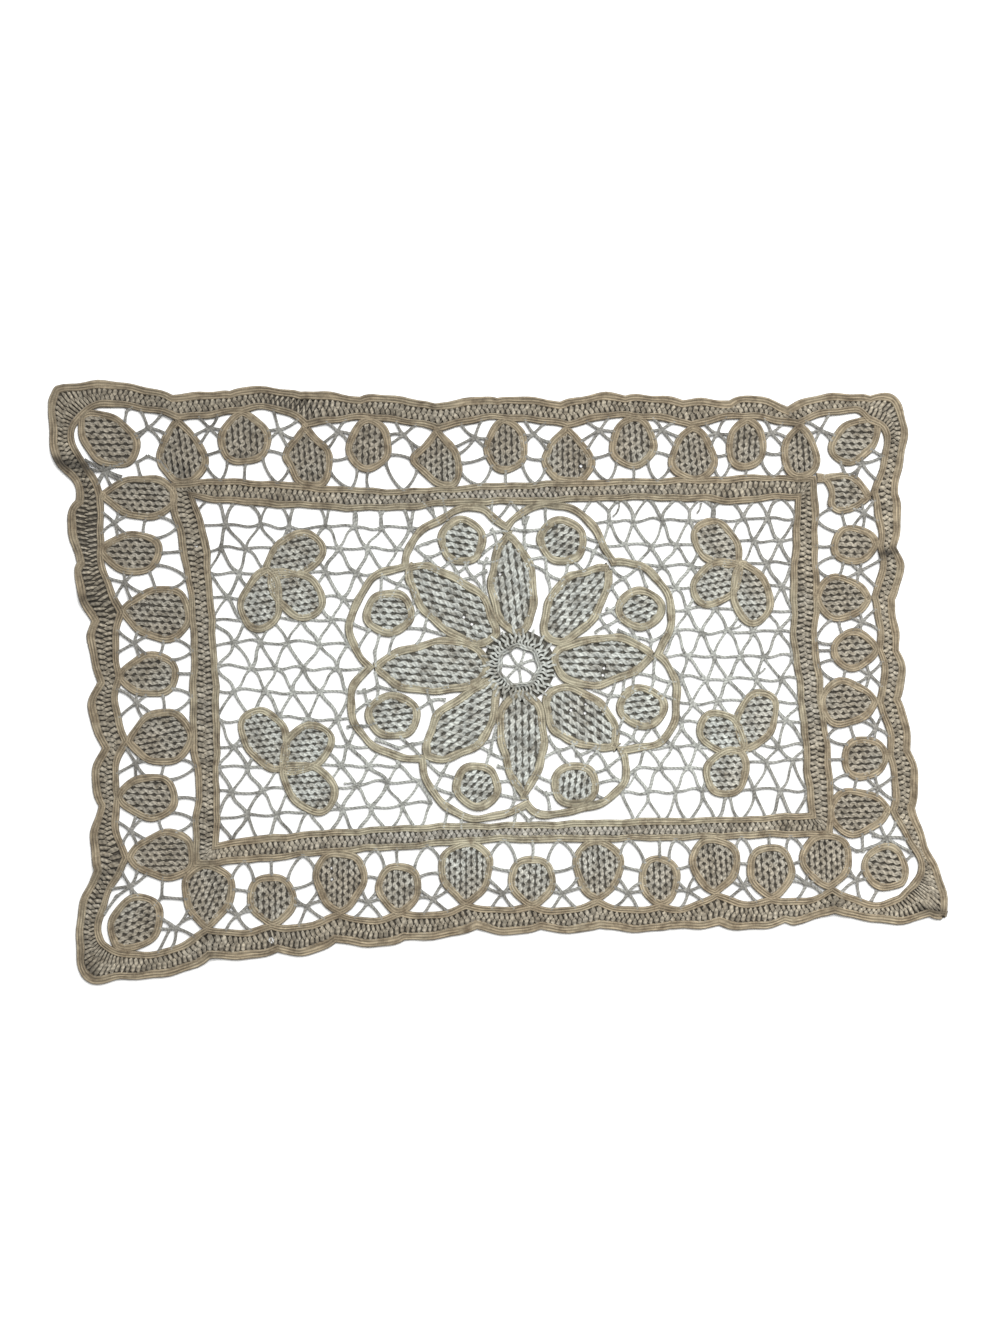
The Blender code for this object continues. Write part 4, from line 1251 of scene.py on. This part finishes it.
fillings = {kind: new_piece() for kind in ("leaf", "disc")}
for motif, outline in zip(BORDER_MOTIFS, motif_outlines):
    heading = CORNER_HEADINGS.get(motif[1:3], motif[3])
    fill_motif(fillings[motif[0]], outline, heading, motif[0], RIM_WIDE)
finish_piece(fillings["leaf"], "border_leaf_stitches", stitch_thread)
finish_piece(fillings["disc"], "border_disc_stitches", stitch_thread)
spray_filling = new_piece()
for outline in spray_outlines:
    fill_motif(spray_filling, outline, SPRAY_HEADING, "spray", RIM_WIDE)
finish_piece(spray_filling, "spray_stitches", stitch_thread)
petal_filling = new_piece()
for (heading, _), outline in zip(PETALS, petal_outlines):
    fill_motif(petal_filling, outline, heading, "petal", FLOWER_RIM_WIDE)
finish_piece(petal_filling, "petal_stitches", stitch_thread)
disc_filling = new_piece()
for disc, outline in zip(RING_DISCS, ring_disc_outlines):
    fill_motif(disc_filling, outline, disc[4], "ring", FLOWER_RIM_WIDE)
finish_piece(disc_filling, "ring_disc_stitches", stitch_thread)

# %% [markdown]
# ## The flower's eye
# The petals meet round a buttonholed eye: a narrow band, stitches that spread out from it like sun rays,
# and seven thin threads that meet in the open middle and pull the band a little inwards.

# %% Eye of the flower
RAY_COUNT = 44
RAY_INNER = EYELET_RADIUS + EYELET_BAND - 0.6
RAY_OUTER = CORE_RADIUS + 1.5
SPOKE_COUNT = 7
SPOKE_START = 20
EYE_PULL = 0.45
EYE_STEPS = 84
EYE_TALL = 1.4
EYE_BAND_HEIGHT = 0.5
RAY_HEIGHT = 1.35
# Every other ray is this much shorter, and each is off its reach by up to so much
RAY_SHORTER = 2.5
RAY_SPREAD = 0.8
# In degrees: how far a ray is off its place, and how far it bends
RAY_ASIDE = 1.5
RAY_BEND = 2.5
# How far the wave of a bend goes on at each step, in radians
RAY_WAVE = 2.2
RAY_WIDTHS = [0.9, 1.25, 1.45, 1.5, 1.0]
eye = new_piece()
eye_line = []
for step in range(EYE_STEPS):
    turn = 360 * step / EYE_STEPS
    pull = EYE_PULL * math.cos(math.radians(SPOKE_COUNT * (turn - SPOKE_START)))
    eye_line.append(flower_middle + towards(turn) * (EYELET_RADIUS + EYELET_BAND / 2 - pull))
lay_tape(eye, eye_line, EYELET_BAND, EYE_BAND_HEIGHT, EYE_TALL, EYE_PROFILE)
finish_piece(eye, "flower_eye_band", stitch_thread)
rays = new_piece()
for number in range(RAY_COUNT):
    turn = 360 * number / RAY_COUNT + draw.uniform(-RAY_ASIDE, RAY_ASIDE)
    reach = RAY_OUTER - (RAY_SHORTER if number % 2 else 0.0) + draw.uniform(-RAY_SPREAD, RAY_SPREAD)
    path = []
    for step in range(len(RAY_WIDTHS)):
        away = RAY_INNER + (reach - RAY_INNER) * step / (len(RAY_WIDTHS) - 1)
        spot = flower_middle + towards(turn + RAY_BEND * math.sin(RAY_WAVE * step)) * away
        path.append((spot.x, spot.y, RAY_HEIGHT))
    sweep(rays, path, ROUND_SIX, RAY_WIDTHS, 1.0)
finish_piece(rays, "flower_eye_rays", stitch_thread)

# %% [markdown]
# ## Bars and webs
# A bar is a thread that is sewn across a gap and whipped on the way back. It is thicker where it is caught,
# and it bends a little where another bar pulls at it. Where several cross, the needle goes round them and
# makes a knot. The knot is modelled once, from a small sphere that is flattened, and copied to every
# crossing.

# %% Bars and knots
BAR_WIDE = 1.5
BAR_FLARE = 1.5
BAR_HEIGHT = 0.75
BAR_STEPS = 6
BAR_BEND = 0.1
BAR_MOST_TALL = 1.45
SHORTEST_BAR = 0.4
KNOT_FLATNESS = 0.55
KNOT_SHADE = 0.7
bpy.ops.object.select_all(action="DESELECT")
bpy.ops.mesh.primitive_uv_sphere_add(segments=8, ring_count=5, radius=1.0)
knot_shape = bpy.context.object
bpy.ops.object.mode_set(mode="EDIT")
bpy.ops.mesh.select_all(action="SELECT")
bpy.ops.transform.resize(value=(1.0, 1.0, KNOT_FLATNESS))
bpy.ops.object.mode_set(mode="OBJECT")
KNOT_POINTS = np.array([tuple(v.co) for v in knot_shape.data.vertices])
KNOT_FACES = [list(p.vertices) for p in knot_shape.data.polygons]
bpy.data.objects.remove(knot_shape)
print("points of a knot:", len(KNOT_POINTS))


def knot(piece, middle, radius):
    """A copy of the knot at a crossing."""
    start = piece["count"]
    points = KNOT_POINTS * radius + np.array([middle.x, middle.y, BAR_HEIGHT])
    piece["points"].append(points)
    # Painted shade: the lower half of a knot is painted darker
    piece["groove_shades"].append(0.5 - KNOT_POINTS[:, 2] * KNOT_SHADE)
    piece["caps"] += [[start + i for i in face] for face in KNOT_FACES]
    piece["cap_uvs"] += [(0.0, 0.0)] * sum(len(face) for face in KNOT_FACES)
    piece["count"] += len(points)


def bar(piece, start, end, wide=BAR_WIDE, bend=None):
    """A thread bar between two points, with flared ends and a slight bend."""
    line = end - start
    if line.length < SHORTEST_BAR:
        return
    bend = draw.uniform(-BAR_BEND, BAR_BEND) if bend is None else bend
    across = Vector((-line.y, line.x)) * bend
    path, width = [], []
    for step in range(BAR_STEPS + 1):
        t = step / BAR_STEPS
        spot = start + line * t + across * 4 * t * (1 - t)
        path.append((spot.x, spot.y, BAR_HEIGHT))
        width.append(wide * (1 + (BAR_FLARE - 1) * (2 * t - 1) ** 4))
    sweep(piece, path, ROUND_SIX, width, np.minimum(np.array(width) * THREAD_FLATNESS, BAR_MOST_TALL))


# %% [markdown]
# In each cell of the border, a web of six arms hangs between a disc and a leaf: two arms go up to the
# border tape, two to the disc and two to the leaf. Below it a short bar joins disc and leaf, and a V is
# caught on the frame. The corners have no such plan, so their bars are listed.

# %% Webs of the border
TAPE_TUCK = 1.2
# A web's arms lead towards these points off its crossing, in millimetres: along the border and outwards
TAPE_ARM = (5.5, 2.0)
HIGH_ARM = (1.0, 1.5)
LOW_ARM = (2.5, -5.5)
# The V: how high on the way to the crossing its arms aim, how far apart, and how they bend
V_HIGH = 0.32
V_APART = 4
V_BEND = 0.09
FOOT_REACH = 4
# Radii of the knots: at a crossing and at the foot of a V
HUB_KNOT = 1.3
FOOT_KNOT = 1.1
# Bars at the corners, each as places (column, row) along its thread
CORNER_BARS = [
    ((136, 463), (148, 456), (160, 461), (169, 472)),
    ((137, 461), (141, 477)),
    ((125, 422), (127, 411), (133, 407)),
    ((85, 460), (105, 470)),
    ((124, 463), (105, 470), (122, 477)),
    ((105, 470), (99, 480)),
    ((840, 461), (845, 474)),
    ((870, 449), (882, 456)),
    ((848, 846), (857, 851), (871, 847), (882, 842)),
    ((862, 833), (863, 852)),
    ((872, 835), (886, 838), (911, 852)),
    ((902, 856), (906, 860), (913, 854)),
    ((877, 890), (871, 901)),
    ((131, 886), (117, 896), (104, 914)),
    ((163, 876), (162, 897)),
    ((188, 899), (162, 897), (154, 906)),
    ((172, 925), (158, 915)),
    ((172, 925), (158, 953)),
]
border_bars = new_piece()
border_line = grown(border_inner, TAPE_TUCK)
frame_line = grown(frame_outer, -TAPE_TUCK)


def caught(point, outline):
    """Where a bar is sewn to a motif: its nearest point, a little under its tape."""
    return nearest(point, grown(outline, -TAPE_TUCK))


def middle_of(motif):
    """The middle of a border motif."""
    return place(motif[1], motif[2]) + towards(motif[3]) * motif[4] * GRID / 2


def hang_web(motif, after, here, there):
    """The web, the bar and the V between a border motif and the one after it, with their two outlines."""
    hub = place(motif[6], motif[7])
    between = (middle_of(after) - middle_of(motif)).normalized()
    outward = Vector((-between.y, between.x))
    if outward.dot(hub) < 0:
        outward = -outward
    knot(border_bars, hub, HUB_KNOT)
    for side in (-1, 1):
        aim = hub + between * side * TAPE_ARM[0] + outward * TAPE_ARM[1]
        bar(border_bars, hub, nearest(aim, border_line))
    for outline, side in ((here, -1), (there, 1)):
        for aside, up in (HIGH_ARM, LOW_ARM):
            bar(border_bars, hub, caught(hub + between * side * aside + outward * up, outline))
    if not motif[8]:
        return
    foot = place(*motif[8])
    waist = hub.lerp(foot, 0.5)
    bar(border_bars, caught(waist, here), caught(waist, there))
    foot = nearest(foot, frame_line)
    low = foot.lerp(hub, V_HIGH)
    for outline, side in ((here, -1), (there, 1)):
        bar(border_bars, foot, caught(low + between * side * V_APART, outline), bend=-V_BEND * side)
    knot(border_bars, foot, FOOT_KNOT)


for number, motif in enumerate(BORDER_MOTIFS):
    following = (number + 1) % len(BORDER_MOTIFS)
    hang_web(motif, BORDER_MOTIFS[following], motif_outlines[number], motif_outlines[following])
for number, motif in enumerate(BORDER_MOTIFS):
    if motif[0] == "disc" and motif[8] and BORDER_MOTIFS[number - 1][8]:
        forward = towards(motif[3])
        end = middle_of(motif) + forward * motif[4] * GRID / 2
        bar(border_bars, end - forward * TAPE_TUCK, nearest(end + forward * FOOT_REACH, frame_line))
for line in CORNER_BARS:
    for start, end in zip(line, line[1:]):
        bar(border_bars, place(*start), place(*end), bend=0.0)
finish_piece(border_bars, "border_bars", bar_thread)

# %% [markdown]
# Inside the ring, each small disc hangs in its loop on a web of bars, and thin spokes meet in the flower's
# eye. The webs are the least regular part of the doily, so each bar is listed by the places along its
# thread.

# %% Webs of the ring
RING_WEBS = [
    ((443, 501), (447, 518)), ((424, 504), (438, 522)), ((493, 503), (494, 520)), ((509, 503), (495, 520)),
    ((512, 503), (525, 520)), ((420, 546), (428, 543), (439, 540)), ((418, 549), (427, 557), (437, 567)),
    ((441, 551), (427, 557), (420, 566)), ((440, 568), (449, 562), (456, 558)),
    ((450, 560), (457, 572), (462, 582)), ((467, 563), (457, 572)), ((466, 564), (474, 578), (482, 590)),
    ((460, 581), (474, 578), (485, 572)), ((484, 553), (500, 542)), ((485, 536), (493, 532), (505, 531)),
    ((492, 531), (496, 547)), ((481, 561), (502, 558)), ((487, 560), (484, 573), (485, 592)),
    ((382, 575), (381, 598)), ((386, 577), (399, 584), (414, 592)), ((408, 573), (399, 584), (392, 597)),
    ((414, 596), (408, 609)), ((411, 618), (417, 612)), ((355, 624), (368, 629)), ((369, 631), (360, 645)),
    ((379, 636), (375, 651), (376, 664)), ((394, 638), (390, 652)), ((411, 628), (425, 629), (443, 634)),
    ((429, 616), (425, 629), (418, 642)), ((376, 674), (378, 686), (377, 697)),
    ((360, 691), (378, 686), (394, 690)), ((365, 691), (369, 704)), ((357, 711), (369, 702)),
    ((350, 727), (361, 726), (374, 723)), ((428, 692), (431, 702), (435, 714)),
    ((419, 708), (430, 701), (443, 700)), ((402, 738), (412, 747), (419, 755)),
    ((378, 740), (399, 748), (412, 744), (426, 740)), ((428, 762), (440, 774), (456, 779)),
    ((449, 761), (443, 772), (435, 787)), ((438, 788), (453, 793)), ((454, 793), (446, 801)),
    ((478, 747), (490, 752), (502, 757)), ((498, 725), (491, 750), (487, 764)), ((483, 742), (499, 736)),
    ((500, 766), (512, 768)), ((500, 782), (513, 781)), ((502, 795), (515, 798), (524, 799)),
    ((512, 783), (515, 798), (507, 811)), ((447, 811), (444, 825)), ((464, 815), (462, 826)),
    ((515, 810), (513, 825)), ((538, 788), (546, 794), (558, 793)), ((549, 780), (540, 776)),
    ((546, 794), (549, 806)), ((550, 738), (558, 750), (569, 763)), ((547, 756), (558, 750), (575, 743)),
    ((573, 743), (579, 754), (583, 762)), ((578, 754), (594, 747)), ((598, 749), (591, 757), (584, 767)),
    ((596, 751), (607, 767), (619, 779)), ((622, 756), (608, 767), (596, 771)), ((598, 784), (615, 780)),
    ((599, 796), (606, 799)), ((614, 682), (610, 695), (605, 708)), ((596, 690), (610, 696), (622, 697)),
    ((625, 679), (624, 688)), ((634, 676), (633, 687)), ((655, 660), (654, 677), (650, 689)),
    ((639, 673), (654, 676), (674, 681)), ((669, 684), (663, 697)), ((660, 694), (674, 699)),
    ((637, 729), (633, 739), (622, 751)), ((619, 732), (633, 738), (644, 747)), ((648, 732), (640, 747)),
    ((656, 731), (662, 740)), ((623, 720), (618, 732)), ((637, 568), (624, 578), (610, 590)),
    ((614, 569), (624, 578), (631, 593)), ((640, 568), (646, 585)), ((612, 588), (621, 602)),
    ((601, 614), (610, 611), (620, 606)), ((608, 610), (619, 620)), ((600, 616), (607, 627), (613, 634)),
    ((598, 631), (607, 626), (621, 618)), ((620, 631), (634, 637), (650, 641), (664, 633)),
    ((631, 629), (637, 640)), ((647, 629), (652, 641), (652, 654)), ((524, 509), (524, 521)),
    ((546, 510), (547, 523)), ((528, 519), (526, 547)), ((516, 529), (527, 531), (541, 530)),
    ((525, 544), (539, 547)), ((531, 560), (543, 558)), ((546, 560), (547, 576), (549, 598)),
    ((533, 566), (547, 573), (563, 579)), ((567, 565), (562, 579)), ((571, 561), (582, 571)),
    ((585, 548), (594, 551), (608, 558)), ((601, 541), (593, 554), (585, 570)), ((587, 537), (601, 541)),
    ((526, 796), (519, 785)), ((538, 812), (530, 820)), ((520, 811), (528, 820)),
]
WEB_TUCK = 1.5
WEB_WIDE = 1.5
JOINT_KNOT = 0.9
SPOKE_WIDE = 1.3
SPOKE_TUCK = 0.6
EYE_KNOT = 1.35
ring_bars = new_piece()
ring_outer = grown(ring_line, RING_WIDE / 2)
for line in RING_WEBS:
    points = [place(*point) for point in line]
    points[0] += (points[0] - points[1]).normalized() * WEB_TUCK
    points[-1] += (points[-1] - points[-2]).normalized() * WEB_TUCK
    for start, end in zip(points, points[1:]):
        bar(ring_bars, start, end, WEB_WIDE)
    for joint in points[1:-1]:
        knot(ring_bars, joint, JOINT_KNOT)
for number in range(SPOKE_COUNT):
    heading = 360 * number / SPOKE_COUNT + SPOKE_START
    bar(ring_bars, flower_middle, flower_middle + towards(heading) * (EYELET_RADIUS + SPOKE_TUCK), SPOKE_WIDE)
knot(ring_bars, flower_middle, EYE_KNOT)
finish_piece(ring_bars, "ring_bars", bar_thread)

# %% [markdown]
# ## The net ground
# The rest of the middle is a net of triangles, worked in rows from the frame inwards. Each table row has
# the net's row at its left and right end and the columns of its crossings. A thread runs along each row,
# and two slant down from each crossing to the next row. Crossings wander a little from their places.

# %% Net crossings
NET_LEFT = [
    (523, 529, (196, 227, 261, 290, 326, 355, 383, 410, 438)),
    (548, 548, (190, 220, 247, 277, 308, 339, 368, 398, 428)),
    (571, 571, (208, 238, 268, 297, 325, 356, 386)),
    (597, 597, (197, 227, 256, 285, 313, 341, 371)),
    (620, 620, (212, 245, 273, 302, 333, 362)),
    (643, 643, (203, 232, 261, 289, 320, 349)),
    (668, 668, (217, 250, 277, 305, 338, 366)),
    (692, 692, (205, 233, 266, 292, 321, 349)),
    (718, 718, (218, 250, 280, 310, 337, 365)),
    (745, 745, (205, 232, 262, 292, 321, 350, 380)),
    (766, 766, (219, 248, 280, 310, 341, 370, 400)),
    (794, 779, (205, 232, 262, 295, 325, 356, 388, 418)),
    (818, 803, (219, 247, 277, 310, 343, 371, 402, 432)),
]
NET_RIGHT = [
    (522, 518, (580, 608, 634, 661, 688, 713, 742, 768, 795)),
    (547, 539, (598, 626, 651, 676, 702, 728, 754, 781, 806)),
    (569, 562, (637, 662, 690, 716, 742, 768, 794)),
    (590, 586, (650, 677, 703, 729, 755, 781, 806)),
    (610, 610, (661, 688, 715, 742, 768, 795)),
    (631, 631, (652, 677, 702, 728, 753, 780, 806)),
    (656, 656, (662, 688, 715, 741, 765, 792)),
    (678, 678, (680, 706, 729, 756, 781, 806)),
    (701, 701, (667, 693, 717, 745, 771, 799)),
    (721, 721, (655, 682, 706, 733, 760, 787, 812)),
    (746, 746, (645, 671, 698, 725, 752, 778, 805)),
    (772, 759, (635, 661, 688, 713, 740, 765, 792, 818)),
    (793, 790, (621, 648, 675, 702, 728, 754, 780, 808)),
]
# The rows where the net is caught on the frame: at the top, and at the left and right end of its foot
FIRST_FRAME_ROW = 498
LAST_FRAME_ROW = {"net_left": (848, 826), "net_right": (824, 818)}
NET_WIDE = 1.3
NET_SLANT_WIDE = 1.55
SLANT_SWELL = (0.78, 1.2)
NET_HEIGHT = 0.65
NET_STEPS = 10
NET_FLATNESS = 0.8
NET_MOST_TALL = 1.25
NET_KNOT = 1.0
NET_WOBBLE = 0.7
# A thread is wider at its ends by the first share, and it bends one way and both ways by up to the other two
NET_FLARE = 0.3
NET_BOW = 0.09
NET_BEND = 0.05
# A slanting thread reaches crossings that are less than this many columns off
LONGEST_SLANT = 25
# The net hangs in loops from the frame, so its first threads bend more
LOOP_BEND = 0.14
LOOSE_WIDE = 0.9
# Broken threads that hang loose: two places each
LOOSE_ENDS = [
    ((355, 781), (344, 783)), ((619, 502), (618, 510)), ((618, 510), (613, 516)), ((701, 503), (697, 513)),
    ((741, 625), (732, 628)), ((765, 668), (759, 673)), ((635, 770), (627, 787)),
]
print("crossings of the net:", sum(len(row[2]) for row in NET_LEFT + NET_RIGHT))

# %% [markdown]
# A thread is laid from crossing to crossing and kept only where nothing covers it: inside the frame, and
# outside the ring and the leaves. Its ends are tucked under their tapes.

# %% Net threads
frame_room = grown(frame_inner, TAPE_TUCK)
covers = [grown(ring_outer, -TAPE_TUCK)] + [grown(outline, -TAPE_TUCK) for outline in spray_outlines]


def uncovered(points, room):
    """True for each point that lies in the room and under none of the covers."""
    shows = inside(points, room)
    for cover in covers:
        shows &= ~inside(points, cover)
    return shows


def net_thread(piece, start, end, wide, bend=0.0):
    """A net thread, kept where it shows."""
    line = end - start
    t = np.linspace(0, 1, NET_STEPS + 1)
    bow = (bend + draw.uniform(-NET_BOW, NET_BOW)) * 4 * t * (1 - t)
    bow += draw.uniform(-NET_BEND, NET_BEND) * np.sin(2 * math.pi * t)
    x, y = start.x + line.x * t - line.y * bow, start.y + line.y * t + line.x * bow
    path = np.stack([x, y, np.full(len(t), NET_HEIGHT)], axis=1)
    width = wide * (1 + NET_FLARE * np.abs(2 * t - 1) ** 3)
    tall = np.minimum(width * NET_FLATNESS, NET_MOST_TALL)
    for first, last in stretches(uncovered(path, frame_room)):
        if last - first > 1:
            sweep(piece, path[first:last], ROUND_SIX, width[first:last], tall[first:last])


def wobbled(point):
    """The point, a little off its place."""
    return point + Vector((draw.uniform(-NET_WOBBLE, NET_WOBBLE), draw.uniform(-NET_WOBBLE, NET_WOBBLE)))


def net_half(name, table):
    """One half of the net."""
    piece = new_piece()
    columns = [row[2] for row in table]
    low, high = min(min(c) for c in columns), max(max(c) for c in columns)
    rows = []
    for left, right, crossings in table:
        rows.append([wobbled(place(c, left + (right - left) * (c - low) / (high - low))) for c in crossings])
    # The first and last row are caught on the frame, half-way between their crossings
    left, right = LAST_FRAME_ROW[name]
    tops, feet = [], []
    for a, b in zip(rows[0], rows[0][1:]):
        tops.append(Vector(((a.x + b.x) / 2, place(0, FIRST_FRAME_ROW).y)))
    for a, b in zip(rows[-1], rows[-1][1:]):
        share = (a.x / GRID + MIDDLE_COLUMN - low) / (high - low)
        feet.append(Vector(((a.x + b.x) / 2, place(0, left + (right - left) * share).y)))
    for row in rows:
        for a, b in zip(row, row[1:]):
            net_thread(piece, a, b, NET_WIDE)
        for crossing in row:
            if uncovered([crossing], frame_inner)[0]:
                knot(piece, crossing, NET_KNOT)
    for upper, lower in zip([tops] + rows, rows + [feet]):
        bow = LOOP_BEND * (upper is tops) - LOOP_BEND / 3 * (lower is feet)
        for a in upper:
            for b in lower:
                if abs(a.x - b.x) < LONGEST_SLANT * GRID:
                    wide = NET_SLANT_WIDE * draw.uniform(*SLANT_SWELL)
                    net_thread(piece, a, b, wide, math.copysign(bow, bow * (b.x - a.x)) if bow else 0.0)
    for start, end in LOOSE_ENDS:
        if (start[0] < FLOWER_COLUMN) == (name == "net_left"):
            bar(piece, place(*start), place(*end), LOOSE_WIDE, BAR_BEND)
    finish_piece(piece, name + "_threads", bar_thread, [name])


net_half("net_left", NET_LEFT)
net_half("net_right", NET_RIGHT)

# %% [markdown]

# %% [markdown]
# ## Floor and light
# The floor is plain and nearly white. One big soft light stands beyond the top edge, so that each stitch
# has a bright upper side and a dark lower side, and the sky fills the shadows evenly.

# %% Floor
FLOOR_SIZE = 8
# The floor lies just under the lowest threads
FLOOR_LEVEL = -0.2 * METRE
bpy.ops.object.select_all(action="DESELECT")
bpy.ops.mesh.primitive_plane_add(size=FLOOR_SIZE, location=(0, 0, FLOOR_LEVEL))
floor = bpy.context.object
floor.name = "floor"
floor_paint = bpy.data.materials.new("matt_white_floor")
floor_paint.use_nodes = True
floor_shader = floor_paint.node_tree.nodes["Principled BSDF"]
floor_shader.inputs["Base Color"].default_value = linear("#f7f7f6")
floor_shader.inputs["Roughness"].default_value = 1.0
floor.data.materials.append(floor_paint)
print("floor at", FLOOR_LEVEL, "m")

# %% Light
SKY_STRENGTH = 0.55
KEY_PLACE = Vector((0.5, 1.1, 1.6))
KEY_SIZE = 1.6
KEY_WATTS = 62
world = bpy.data.worlds.new("studio")
bpy.context.scene.world = world
world.use_nodes = True
sky = world.node_tree.nodes["Background"]
sky.inputs["Color"].default_value = (1, 1, 1, 1)
sky.inputs["Strength"].default_value = SKY_STRENGTH
bpy.ops.object.light_add(type="AREA", location=KEY_PLACE)
key = bpy.context.object
key.data.size = KEY_SIZE
key.data.energy = KEY_WATTS
key.rotation_euler = (-KEY_PLACE).to_track_quat("-Z", "Y").to_euler()
bpy.context.scene.view_settings.view_transform = "Standard"
print("watts of the soft light:", KEY_WATTS)
